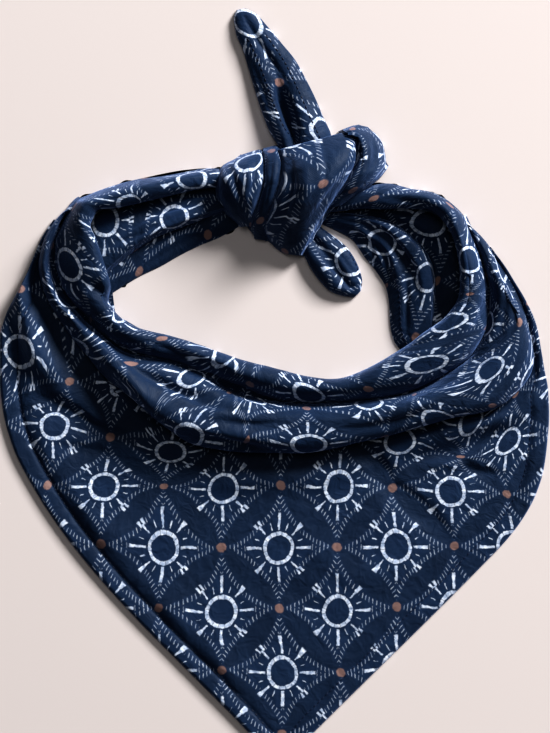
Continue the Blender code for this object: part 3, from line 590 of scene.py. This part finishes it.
# The cloth inside the stitches, on the left: mm that it is puffed up, how much that changes along
# the edge, and how far in it goes
PUFF, PUFF_CHANGE, PUFF_REACH = 2.4, 0.7, 40.0
# The stitched line: mm of depth on the right, how much more on the left, and half its width
GROOVE, GROOVE_MORE, GROOVE_HALF = 0.3, 0.5, 0.9
BIB_TOP, EDGE_HEIGHT, UNDER_LIP = 2.0, 0.4, 2.0  # mm
BIB_TURN = 0.62  # degrees from one section to the next
BIB_STEPS, HEM_STEPS = 83, 12  # of the grid, out to the stitches and on to the edge
# angle, height of the swell outside the front roll, how far out it reaches, and how far out its
# top lies (0.6 is near the roll, 1 is half way)
BIB_SWELL = (
    (-112, 2, 4, 1),
    (-104, 3, 8, 1),
    (-94, 7.5, 17, 1.4),
    (-86, 8.8, 23, 1.5),
    (-78, 8.2, 29, 1.5),
    (-68, 6, 31, 1.4),
    (-57, 4, 27, 1.3),
    (-30, 3, 24, 1.1),
    (0, 3, 24, 1),
    (45, 3.8, 20, 0.8),
    (57, 5, 20, 0.7),
    (67, 5.5, 18, 0.8),
    (76, 3.5, 8, 0.8),
    (84, 2.4, 5, 0.7),
    (97, 2.1, 3, 0.63),
    (105, 2, 3, 0.63),
)
# The edge from the neck centre, x and y: the left side, the tip and the right side
HEM_LEFT = (
    (-103.5, 40.5), (-107.9, 34), (-111.6, 27.9), (-114.2, 22), (-117.3, 14.5), (-122, 5),
    (-128.7, -8.5), (-131.3, -19), (-131.3, -40), (-129.7, -55.5), (-124.7, -73.5),
    (-115.2, -92.5), (-101.7, -113.5), (-85.8, -134), (-70.8, -151), (-12.3, -210.5),
    (6, -229.3),
)
TIP = (9.3, -231.5)
HEM_RIGHT = (
    (12.6, -229.3), (26.3, -215.5), (111, -131.5), (121.5, -120.5), (130, -109.5),
    (136.3, -98), (140.5, -85), (142.6, -69), (143.3, -58.5), (142.8, -45),
    (141, -35), (139.5, -26), (136.8, -12), (131.5, 0), (125.5, 10), (122.3, 15.3),
    (117.6, 21.8), (112, 28),
)
BIB_CREASES = (
    (-2, 4, 3, (66, -37), (79, -35.5), (92, -33), (104, -28), (113, -23.5)),
    (1.8, 4, 5, (62, -30), (84, -23), (108, -15)),
    (-2.5, 3, 8, (56, -48), (66, -54), (76, -62), (88, -76)),
    (-3, 4.5, 6, (46, -26), (49, -34), (53, -42), (58, -50)),
    (1.4, 4, 3, (72, -38), (88, -39), (104, -35)),
    (-1.6, 1.6, 5, (92, -36), (102, -42), (112, -44)),
    (-2.2, 2, 6, (-112, -6), (-100, -12), (-88, -20), (-74, -24)),
    (-1.5, 2, 6, (-108, -30), (-94, -31), (-82, -34)),
    (1.4, 7, 5, (-40, -50), (-5, -46), (30, -46)),
    (-1, 3, 3, (-127, -32), (-118, -56), (-100, -84), (-74, -112), (-46, -140), (-24, -167)),
    (0.8, 6, 6, (-96, -62), (-70, -76), (-50, -70)),
    (-0.8, 5, 5, (-60, -34), (-44, -44), (-20, -40)),
    (0.9, 8, 6, (10, -70), (40, -95), (64, -92)),
    (-0.7, 6, 6, (-20, -98), (10, -104), (30, -124)),
    (-0.8, 3, 3, (122, -40), (124, -62), (110, -82), (70, -124), (30, -164)),
)
BIB_MARKS = (
    (2.8, -81, 0), (-55.8, -80.5, 0), (60.8, -80.8, 0), (-26.2, -112.5, 0), (31.2, -112, 0),
    (3.2, -142.5, 0), (-84.8, -50.5, 0), (-25.2, -51, 0), (31.8, -50, 0), (87.8, -52.5, 0),
    (-26.8, -80.5, 1), (31, -80, 1), (-86.8, -79, 1), (89.8, -80.2, 1), (2.8, -49.5, 1),
    (58.8, -50.5, 1), (-55.5, -50, 1), (1.8, -111.2, 1), (-57.2, -111, 1), (60, -110.5, 1),
    (-27.2, -142, 1), (62.8, -27.5, 0), (-109.8, -19, 0), (-81.5, -26, 1), (116.6, -27.6, 0),
    (-102, 2.5, 1), (-127.2, 17, 0), (-52, -33.5, -2, 2), (98.8, -17.5, 3, 3),
)

outline = np.concatenate([trace((*HEM_LEFT, TIP), 700), trace((TIP, *HEM_RIGHT), 700)[1:]])
outline_angle = np.degrees(np.arctan2(outline[:, 0], -outline[:, 1]))
outline_radius = np.hypot(outline[:, 0], outline[:, 1])
tip_angle = math.degrees(math.atan2(TIP[0], -TIP[1]))
angles = np.unique(np.concatenate([np.arange(-111.0, 103.51, BIB_TURN), [tip_angle]]))
crest, _, lip, _, curl = columns(FRONT_ROLL, angles)
swell, reach_out, lean_out = columns(BIB_SWELL, angles)
start = crest + (lip - crest) * np.cos(np.radians(curl)) - UNDER_LIP
edge = np.interp(angles, outline_angle, outline_radius)
# How squarely each section meets the edge, for a hem of one width all round
tangent = np.gradient(outline, axis=0)
tangent /= np.linalg.norm(tangent, axis=1, keepdims=True)
square = np.abs(tangent[:, 0] * outline[:, 1] - tangent[:, 1] * outline[:, 0]) / outline_radius
square = np.clip(np.interp(angles, outline_angle, square), 0.6, 1.0)
hem = np.minimum(HEM_WIDTH / square, 0.5 * (edge - start))
open_shares = np.linspace(0.0, 1.0, BIB_STEPS + 1)[None, :]
hem_shares = np.sin(np.linspace(0.0, 1.0, HEM_STEPS + 1)[1:] * math.pi / 2)[None, :]
stitched = (edge - hem)[:, None]
radii = np.concatenate([start[:, None] + (stitched - start[:, None]) * open_shares,
                        stitched + hem[:, None] * hem_shares], axis=1)
# The swell outside the front roll
out = np.clip((radii - lip[:, None] - 0.5) / reach_out[:, None], 0.0, 1.0)
bulge = np.maximum(swell - BIB_TOP, 0.0)[:, None] * np.sin(math.pi * out ** lean_out[:, None]) ** 2
bib_places = fan(angles, radii, np.full_like(radii, BIB_TOP) + bulge)
over_hem = np.clip((radii - stitched) / hem[:, None], 0.0, 1.0)
pressed = press(bib_places, BIB_CREASES)
clear = np.clip((radii - lip[:, None] - 1.0) / 4.0, 0.0, 1.0) * (1 - over_hem) ** 0.5
bib_places = bib_places + (pressed - bib_places) * clear[..., None]
# The padded hem, with uneven puckers along its stitched line
way = run_lengths(bib_places, 0)[:, -1:]
pucker = (PUCKER[0] * np.sin(way / PUCKER_LENGTH[0] + 1.7 * np.sin(way / 17.0))
          + PUCKER[1] * np.sin(way / PUCKER_LENGTH[1] + 2.0))
near_stitch = np.exp(-((over_hem - 0.12) / 0.22) ** 2) * (over_hem > 0)
near_stitch += np.exp(-((stitched - radii) / 3.0) ** 2) * (over_hem <= 0)
# On the left the cloth inside the stitches is puffed up and the hem leans out, and the right is
# nearly flat
leftness = np.clip((tip_angle + 4 - angles) / 16, 0.2, 1.0)[:, None]
padding = HEM_RISE * np.sin(math.pi / 2 * np.clip(over_hem / (0.35 + 0.45 * leftness), 0, 1))
inside = np.clip((stitched - radii) / PUFF_REACH, 0.0, 1.0)
puff = leftness * (PUFF + PUFF_CHANGE * np.sin(way / 9.0 + 1.6 * np.sin(way / 21.0)))
padding += puff * (1 - inside) ** 2 * (1 - np.exp(-(((stitched - radii) / 4.6) ** 2))) * (inside > 0)
groove = (GROOVE + GROOVE_MORE * leftness) * np.exp(-(((radii - stitched) / GROOVE_HALF) ** 2))
drop = 1.0 - np.sqrt(1.0 - ((over_hem - HEM_ROUND) / (1.0 - HEM_ROUND)).clip(0, 1) ** 2)
bib_places[..., 2] += padding + pucker * near_stitch - groove
bib_places[..., 2] -= (bib_places[..., 2] - EDGE_HEIGHT) * drop
bib_places[..., 2] = np.maximum(bib_places[..., 2], EDGE_HEIGHT)
bib = cloth("bib_cloth", bib_places, lay_print(bib_places, bib_places[..., :2], BIB_MARKS), ["bib"])

# ---- The tie bands ---------------------------------------------------------------------------
# The ends of the long side, narrowing into ties and gathered into strands that run back to the
# knot. Each strand is one fold of the same doubled cotton, lapping on the next.
# left edge x, y, height; right edge x, y, height; arch; crease down the middle
LEFT_BAND_MIDDLE = (
    (-24, 99.5, 2, -23, 89.5, 6.5, 2.5, 0),
    (-34, 100.5, 1.5, -33, 86.5, 9, 3, 0),
    (-45, 98.5, 1, -42, 83, 10, 3.5, 0),
    (-56, 96.5, 1, -51, 79.7, 10.5, 3.5, 0),
    (-67, 94, 1, -60, 76, 10.5, 3.5, 0),
    (-78, 92, 1.5, -68, 71, 9.5, 3.5, 0),
    (-89, 87, 2.5, -77, 64, 8, 3, 0),
    (-97, 80, 3, -86, 56, 7, 2.5, 0),
)
LEFT_BAND_LOW = (
    (-21, 92, 1, -18, 79.5, 0, 2.4, 0),
    (-32, 89.5, 1, -28.2, 74, 0, 2.6, 0),
    (-42, 86, 1, -37.2, 70.3, 0, 2.8, 0),
    (-51, 82.5, 1, -47, 65.5, 0, 2.8, 0),
    (-60, 79, 1, -57, 59.8, 0, 2.8, 0),
    (-68.5, 74, 1, -67, 55, 0, 2.8, 0),
    (-77.5, 67, 1, -75.5, 50, 0, 2.6, 0),
    (-86, 60, 1, -84, 44.5, 0, 2.4, 0),
)
RIGHT_BAND_MIDDLE = (
    (32, 84.5, 0.5, 39.5, 91, 0.5, 2.2, 0),
    (41, 82, 0.5, 47.5, 91.5, 0.5, 2.4, 0),
    (52, 78.5, 0.5, 58.5, 91.5, 0.5, 2.6, 0),
    (62, 73, 0.5, 72, 90.5, 0.5, 2.6, 0),
    (69.5, 66, 0.5, 88, 84, 0.5, 2.8, 0),
    (74, 58, 0.5, 95, 72, 0.5, 2.8, 0),
    (75.5, 49, 0.5, 96.5, 60, 0.5, 2.8, 0),
    (75, 41, 0.5, 97, 47, 0.5, 2.6, 0),
    (71.5, 33.5, 0.5, 95, 36, 0.5, 2.4, 0),
    (72, 26, 0.5, 89, 27, 0.5, 2, 0),
)
RIGHT_BAND_LOW = (
    (19.5, 82.5, 0, 26, 87, 2, 2.8, 0),
    (25.5, 80, 0, 34, 86.5, 3, 3.2, 0),
    (31.8, 77, 0, 43, 85, 4.5, 4.2, 0),
    (38.8, 73, 0, 55, 81.5, 7.5, 3.4, 1),
    (45.8, 63.5, 0, 65, 75.5, 8.5, 3.2, 1.5),
    (51.8, 56, 0, 72.8, 67.5, 8.5, 3.2, 1.5),
    (55.8, 49, 0, 77.3, 58.5, 8.5, 3.2, 1),
    (57.3, 41, 0, 78.5, 49, 8, 3.2, 1),
    (57.8, 31, 0, 78.5, 39.5, 7, 3, 0.5),
    (59.8, 22.5, 0, 78, 31, 5.5, 2.6, 0),
    (65, 16, 0, 79, 24.5, 3.5, 2.5, 0),
    (71, 9.5, 0, 82, 17, 2.5, 2, 0),
)
CREASE_SHARE = 0.30  # a middle crease's half width, as a share of the strip's
TUCK, TUCK_SLOPE = 2.2, 2.6  # mm that a raised edge goes on, and mm down for each mm of that
TUCK_FROM, TUCK_FULL = 2.0, 5.0  # mm, heights of an edge where that starts and where it is whole


def strip(table, steps, points, curl=0.0, tuck=0.0):
    """A strip's surface from its table, with so many steps from row to row and points across.

    curl is how far its sides curl under, in degrees. tuck is how far its raised edges go on, down
    and outwards, under what lies beside them.
    """
    rows = np.array(table, float)
    at = np.linspace(0, len(rows) - 1, (len(rows) - 1) * steps + 1)
    column = [smooth(np.arange(len(rows)), rows[:, c], at)[:, None] for c in range(8)]
    left, right, rise, crease = column[0:3], column[3:6], column[6], column[7]
    sweep = math.radians(90.0 + curl)
    turn = np.linspace(-sweep, sweep, points)[None, :]
    share = (1.0 + np.sin(turn)) / 2.0
    arch = (np.cos(turn) - math.cos(sweep)) / (1.0 - math.cos(sweep))
    x, y, z = (a + (b - a) * share for a, b in zip(left, right))
    dip = np.exp(-((np.sin(turn) / CREASE_SHARE) ** 2))
    z = z + rise * arch - crease * dip
    if tuck:
        width = np.hypot(right[0] - left[0], right[1] - left[1])
        for end, sign in ((0, -1.0), (-1, 1.0)):
            edge = [a[:, [end]] for a in (x, y, z)]
            out = tuck * np.clip((edge[2] - TUCK_FROM) / (TUCK_FULL - TUCK_FROM), 0.0, 1.0)
            out = out * np.linspace(0.0, 1.0, 5)[None, 1:]
            more = [edge[i] + sign * out * (right[i] - left[i]) / width for i in (0, 1)]
            more.append(edge[2] - TUCK_SLOPE * out)
            if sign < 0:
                x, y, z = (np.concatenate([m[:, ::-1], a], axis=1) for m, a in zip(more, (x, y, z)))
            else:
                x, y, z = (np.concatenate([a, m], axis=1) for m, a in zip(more, (x, y, z)))
    return np.stack([x, y, np.maximum(z, 0.0)], axis=2)


def strip_flat(places):
    """A strip laid out flat: along its length and out from its middle line."""
    across = run_lengths(places, 1)
    middle = places.shape[1] // 2
    along = run_lengths(places, 0)[:, middle:middle + 1] + 0 * across
    return np.stack([along, across - across[:, middle:middle + 1]], axis=2)


# For each strip: its table, degrees that the print is turned, flat size in m, the print's marks
# and the creases
BANDS = {
    "left_band_middle": (LEFT_BAND_MIDDLE, -15, (0.085, 0.026), ((-50.2, 84, 0), (-84.8, 82, 0)), (
        (-2, 1.6, 2.6, (-26, 93), (-46, 90), (-62, 85), (-76, 76)),
        (-1.2, 1.2, 2, (-48, 86), (-60, 79), (-70, 74), (-82, 70)),
        (-1, 1.6, 1.6, (-30, 97), (-48, 95), (-60, 92)))),
    "left_band_low": (LEFT_BAND_LOW, 46, (0.076, 0.022), ((-33.2, 76, 0, 1), (-68, 57, 1, 2)), (
        (-1.2, 1.4, 2.4, (-24, 86), (-40, 82), (-54, 75), (-66, 68)),
        (-0.9, 2, 1.4, (-30, 78), (-44, 73), (-58, 64), (-70, 57)))),
    "right_band_middle": (RIGHT_BAND_MIDDLE, 20, (0.105, 0.022), ((76.5, 81.5, 0), (50.5, 91.5, 1)), (
        (-2, 2, 3, (40, 87), (60, 82), (76, 74), (86, 62), (88, 50)),
        (-1.8, 2, 1.4, (58, 80), (72, 74), (80, 62), (82, 48)),
        (-0.9, 1.6, 1.6, (52, 88), (68, 86), (82, 78)))),
    "right_band_low": (RIGHT_BAND_LOW, 20, (0.095, 0.027), ((76.5, 54.3, 0), (53.3, 71, 0)), (
        (-1.4, 1.2, 1.2, (65, 58), (66, 48), (65.8, 38), (66, 26)),
        (-3.2, 1.8, 3, (34, 82), (44, 81), (54, 76), (62, 68), (69, 57), (72, 46)),
        (-2.4, 2.6, 1.6, (40, 74), (49, 71), (55, 64), (58, 54)),
        (1.6, 2.4, 2.4, (44, 76), (53, 71), (59, 63), (62, 52)),
        (-1.8, 1.4, 2.4, (30, 80), (40, 77), (47, 70), (52, 60)))),
}
band_places = {}
for name, (table, turn, size, marks, creases) in BANDS.items():
    places = band_places[name] = press(strip(table, 14, 37, tuck=TUCK), creases)
    band = cloth(name + "_cloth", places, lay_print(places, strip_flat(places), marks, turn), [name])

# ---- The knot --------------------------------------------------------------------------------
# The two ties crossed and pulled tight once more: the left tie bulges into it, a narrow fold lies
# beside, the right tie wraps over the top and its turn stands out as a small loop on the right.
KNOT_LEFT = (
    (-17.5, 115.3, 0, -7.6, 118.3, 1, 2.4, 0),
    (-19.5, 113.5, 3, -7, 117, 6, 4, 0),
    (-24.5, 109.5, 9, -5.3, 111, 12, 8, 0),
    (-27.5, 102, 14, -5.3, 102.5, 16, 9, 0.5),
    (-27, 94.5, 12.5, -7.3, 94.5, 15, 9, 0.5),
    (-22.5, 86.5, 9, -9.8, 86.5, 12, 6.5, 0.5),
    (-16, 79.5, 3.5, -11.8, 79.5, 5.5, 4.5, 0),
)
KNOT_FOLD = (
    (-6, 118.6, 1, 1.2, 120.4, 2, 2.6, 0),
    (-5.6, 115.5, 8, 1.6, 117.5, 10, 4, 0),
    (-4.9, 109.5, 13.5, 3.3, 110.5, 15.5, 5.5, 0),
    (-4.9, 102, 16.5, 2.5, 102.5, 18, 5.5, 0),
    (-6.9, 94, 15, 0.3, 94.5, 17, 5.5, 0),
    (-9.4, 86, 11, -2.4, 86.5, 13, 5, 0),
    (-11.4, 79.5, 5, -4.4, 79.5, 7, 4.5, 0),
    (-10, 73.5, 0, -3.4, 72.5, 1, 3.2, 0),
)
KNOT_WRAP = (
    (2.3, 117.8, 12, 33, 126, 11.5, 4, 0),
    (3.9, 112, 16.5, 40.5, 121.5, 15, 8, 0),
    (3.6, 105, 19, 40.3, 112.5, 18, 12, 0),
    (1.8, 97.5, 18.5, 36.8, 103.5, 18.5, 13.5, 0),
    (-0.9, 90, 16, 31.3, 94.8, 17, 13, 0),
    (-3, 82.5, 12, 25.5, 86.5, 13.5, 11, 0),
    (-3.6, 76.5, 7, 20.5, 79, 10.5, 8, 0),
    (-0.8, 70.5, 2, 16.5, 71.5, 8.5, 5, 0),
    (4.8, 66, 0, 13, 65, 5, 3, 0),
)
KNOT_LOOP = (
    (33.8, 128, 6, 39.5, 130.2, 2, 2.3, 0),
    (35.5, 126, 14.5, 41, 129.2, 8, 2.5, 0),
    (41.2, 123, 16.5, 49, 127.2, 2, 5.5, 0),
    (42.8, 117.5, 18, 54.5, 119.8, 0, 8.5, 0),
    (41, 111, 19, 55.6, 112.5, 2, 9, 0),
    (38.2, 105, 19, 51.5, 105, 12, 7, 0),
    (34.8, 99, 18, 44.8, 99, 14, 5, 0),
    (31.2, 93.8, 15.5, 38, 94, 12.5, 3.5, 0),
    (27.2, 88.5, 13, 32.6, 89.5, 10.5, 2.5, 0),
)
KNOT_HEART = (7.0, 98.0, 14.5, 14.5, 12.61)  # mm: middle x and y, half sizes and height

KNOT = {
    "knot_left": (KNOT_LEFT, 90, (0.045, 0.034), (
        (-12, 112, 0, 0), (-15.7, 95, 0, 0.57), (-14.5, 83.5, 0.1, 0.85)), (
        (-2, 1.4, 2.4, (-22, 108), (-18, 98), (-15, 86)),
        (-1.6, 1.2, 2, (-9, 112), (-10, 102), (-13, 90)),
        (1, 2.4, 2, (-14, 112), (-12, 100), (-12, 88)),
        (-0.9, 1.5, 1.5, (-25, 98), (-20, 90), (-16, 82)))),
    "knot_fold": (KNOT_FOLD, 133.7, (0.05, 0.022), ((-1, 100, 0.5, 0.5),), (
        (-0.8, 1.2, 1.2, (-1, 116), (-2, 104), (-5, 88)),)),
    "knot_wrap": (KNOT_WRAP, 75, (0.07, 0.044), (
        (23.9, 100.1, 1, 0), (-2.5, 86.8, 2, 0), (15.2, 117, 1, -0.55), (15.2, 80.5, 1.5, 0.5)), (
        (-2, 1.6, 3.4, (8, 112), (9, 100), (6, 88), (4, 76)),
        (-1.5, 3, 2, (38, 110), (31, 99), (24, 90), (17, 80)),
        (1.4, 3, 3, (14, 112), (16, 98), (11, 84)),
        (-1, 2, 2, (24, 120), (26, 110), (24, 102)),
        (-1, 1.6, 1.6, (10, 86), (8, 78), (8, 70)))),
    "knot_loop": (KNOT_LOOP, 133.7, (0.05, 0.028), ((49, 114, 0.5, 0.5),), (
        (-1.5, 1.2, 2, (37, 127), (44, 119), (43, 110), (39, 102)),
        (-0.8, 1.6, 1.6, (49, 123), (50, 114), (46, 104)))),
}
for name, (table, turn, size, marks, creases) in KNOT.items():
    places = press(strip(table, 12, 49, tuck=TUCK), creases)
    tie = cloth(name + "_cloth", places, lay_print(places, strip_flat(places), marks, turn), [name])

# What is inside the knot shows only as dark folds through its gaps: one crumpled turn of the tie
bpy.ops.object.select_all(action="DESELECT")
middle_x, middle_y, half_x, half_y, top = KNOT_HEART
heart_at = np.linspace(0.04, 0.5, 22)[:, None] * math.pi
heart_round = np.linspace(-math.pi, math.pi, 61)[None, :]
crumpled = 1.0 - 0.05 * np.abs(np.sin(heart_round * 4 + 5 * heart_at))
heart_places = np.stack([
    middle_x + half_x * np.sin(heart_at) * np.cos(heart_round) * crumpled,
    middle_y + half_y * np.sin(heart_at) * np.sin(heart_round) * crumpled,
    top * np.cos(heart_at) * np.ones_like(heart_round)], axis=2)
heart = cloth("inner_turn", heart_places, strip_flat(heart_places), ["knot_heart"])

# ---- The tie ends ----------------------------------------------------------------------------
# The two ties' ends, each a flat tube of the same cotton with a rounded point, seamed and
# topstitched round. The long one points up and away from the ring, the short one into it.
LONG_TAIL = (
    (-18.9, 187.9, 0, -14.2, 188.6, 0, 2.6, 0),
    (-20.3, 184, 0, -9.3, 186, 0, 4.5, 0.3),
    (-19.3, 176.5, 0, -3.3, 179.5, 0, 5.5, 0.8),
    (-15.8, 168, 0, 3.8, 171, 0, 6, 1.2),
    (-12.8, 158, 0, 10.3, 163, 0, 6.5, 1.8),
    (-9.8, 148, 0, 15.3, 154, 0, 7.5, 1),
    (-6.3, 137, 0, 20.3, 144, 0, 8.5, 1),
    (-2.3, 127, 0, 24.3, 134.5, 0, 10, 1),
    (2.5, 119, 0, 28, 126.5, 0, 10.5, 1),
    (5, 114.5, 0, 29, 122, 0, 9.5, 1),
)
SHORT_TAIL = (
    (39.8, 44.3, 0, 43.2, 47.6, 0, 2.6, 0),
    (34.5, 45, 0, 43.8, 52.5, 0, 5, 0.8),
    (27.8, 47.5, 0, 42.5, 58, 0, 6.5, 2),
    (22.3, 53, 0, 39.5, 64.5, 0, 7.5, 2.8),
    (18, 59, 0, 35.5, 70, 0, 7.5, 3),
    (15.2, 64.5, 0, 30, 74.5, 0, 7, 3),
    (13, 69, 0, 24.5, 78.5, 0, 6, 2.5),
    (9, 74, 0, 18.5, 84, 0, 5, 1.5),
)
TIE_CURL = 25.0  # degrees, how far the long edges curl under
TAILS = {
    "long_tail": (LONG_TAIL, 75, (0.08, 0.035), ((2, 151.5, 1), (25.5, 127, 0), (-13.5, 181, 0)), (
        (-8, 4.2, 1.6, (1.5, 150), (3, 142), (5, 135), (7.5, 127), (9.5, 114)),
        (-0.9, 1, 1, (-15, 184), (-8, 172), (-1, 162), (6, 152), (10, 146)),
        (-0.6, 1.2, 1.2, (-12, 163), (-6, 148), (-1, 134)))),
    "short_tail": (SHORT_TAIL, 120, (0.042, 0.024), ((38, 62, 0),), (
        (-1.2, 0.9, 0.9, (19, 68), (28, 60), (35, 53), (38, 49), (41, 51)),
        (-0.6, 1.2, 1.2, (26, 71), (34, 64), (40, 56)))),
}
tail_places = {}
for name, (table, turn, size, marks, creases) in TAILS.items():
    places = tail_places[name] = press(strip(table, 14, 49, curl=TIE_CURL), creases)
    tail = cloth(name + "_cloth", places, lay_print(places, strip_flat(places), marks, turn), [name])

# ---- The stitching ---------------------------------------------------------------------------
# Single rows of topstitching in dark navy polyester thread, 9 mm in from the bib's edge and
# inside the tie ends' seams. Each stitch is sunk a little, so that its rounded top shows.
STITCH, STITCH_GAP, THREAD = 1.9, 0.8, 0.3  # mm: length, space to the next and radius
ABOVE = 0.3  # of a thread's radius, how far its middle lies above the cloth
# Each row follows one line of a sheet's grid: the sheet, its first and last row, and the line
ROWS = (
    (bib_places, 0, None, BIB_STEPS),
    (tail_places["long_tail"], 33, None, 18),
    (tail_places["long_tail"], 33, None, 31),
    (tail_places["short_tail"], 4, None, 10),
    (tail_places["short_tail"], 4, None, 38),
    (band_places["right_band_low"], 70, 150, 16),
)

# Polyester thread is smoother than the cotton: each stitch has its own small light streak
thread = empty_material("navy_thread")
tree = thread.node_tree
thread_shader = put(tree, "ShaderNodeBsdfPrincipled",
                    {"Base Color": linear("#141f38"), "Roughness": 0.42, "Specular IOR Level": 0.3})
put(tree, "ShaderNodeOutputMaterial", {"Surface": thread_shader})
bpy.ops.object.select_all(action="DESELECT")
bpy.ops.mesh.primitive_uv_sphere_add(segments=8, ring_count=5, radius=1.0)
stitching = bpy.context.object
stitching.name = stitching.data.name = "topstitching"
ball = np.array([tuple(v.co) for v in stitching.data.vertices])
ball_faces = [tuple(f.vertices) for f in stitching.data.polygons]
points, faces = [], []
for sheet_places, first, last, line in ROWS:
    row = sheet_places[first:last, line]
    run = np.concatenate([[0.0], np.cumsum(np.linalg.norm(np.diff(row, axis=0), axis=1))])
    starts = np.arange(1.0, run[-1] - STITCH, STITCH + STITCH_GAP)
    ends = [np.stack([np.interp(starts + more, run, row[:, i]) for i in range(3)], axis=1)
            for more in (0.0, STITCH)]
    for start, end in zip(*ends):
        along = (end - start) / 2.0
        side = np.cross((0.0, 0.0, THREAD), along / np.linalg.norm(along))
        stitch = (start + end) / 2.0 + ball[:, :1] * along + ball[:, 1:2] * side
        stitch[:, 2] += THREAD * (ball[:, 2] + ABOVE)
        faces += [tuple(i + len(points) * len(ball) for i in face) for face in ball_faces]
        points.append(stitch)
stitching.data.clear_geometry()
stitching.data.from_pydata((np.concatenate(points) * MM).tolist(), [], faces)
stitching.data.shade_smooth()
stitching.data.materials.append(thread)
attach(stitching, "root")

# ---- The table and the light -----------------------------------------------------------------
# A plain pale table top, painted matt, in the soft light of a window above on the right, with a
# little more from a white room round it. None of it belongs to the garment.
TABLE_SIZE = 4.0  # m
bpy.ops.object.select_all(action="DESELECT")
bpy.ops.mesh.primitive_plane_add(size=TABLE_SIZE, location=(0.0, 0.0, 0.0))
table_top = bpy.context.object
table_top.name = "table_top"
pale = empty_material("pale_table")
tree = pale.node_tree
pale_shader = put(tree, "ShaderNodeBsdfPrincipled",
                  {"Base Color": linear("#d0c7c4"), "Roughness": 0.6, "Specular IOR Level": 0.2})
put(tree, "ShaderNodeOutputMaterial", {"Surface": pale_shader})
table_top.data.materials.append(pale)

# The camera looks straight down, and frames the garment as the photo does
VIEW_MIDDLE = (0.25, 9.75)  # mm
VIEW_WIDTH = 275.0  # mm across the picture
CAMERA_HEIGHT = 3.0  # m
SENSOR = 36.0  # mm
bpy.ops.object.camera_add(location=(VIEW_MIDDLE[0] * MM, VIEW_MIDDLE[1] * MM, CAMERA_HEIGHT))
camera = bpy.context.object
camera.data.sensor_fit = "HORIZONTAL"
camera.data.sensor_width = SENSOR
camera.data.lens = SENSOR * CAMERA_HEIGHT / (VIEW_WIDTH * MM)
bpy.context.scene.camera = camera

# name, place in m, size in m, watts. Each is turned to face the garment.
LAMPS = (
    ("window", (2.6, 2.8, 1.9), 1.3, 330.0),
    ("ceiling", (0.2, 0.7, 2.4), 1.2, 7.5),
)
ROOM_LIGHT = 0.07  # strength
for name, place, size, power in LAMPS:
    bpy.ops.object.light_add(type="AREA", location=place)
    lamp = bpy.context.object
    lamp.name = name
    lamp.data.size, lamp.data.energy = size, power
    lamp.rotation_euler = (math.atan2(math.hypot(place[0], place[1]), place[2]), 0.0,
                           math.atan2(place[0], -place[1]))
world = bpy.data.worlds.new("white_room")
world.use_nodes = True
background = world.node_tree.nodes["Background"]
background.inputs["Color"].default_value = linear("#f4f6fa")
background.inputs["Strength"].default_value = ROOM_LIGHT
bpy.context.scene.world = world
bpy.context.scene.view_settings.view_transform = "Standard"
bpy.context.scene.view_settings.look = "High Contrast"
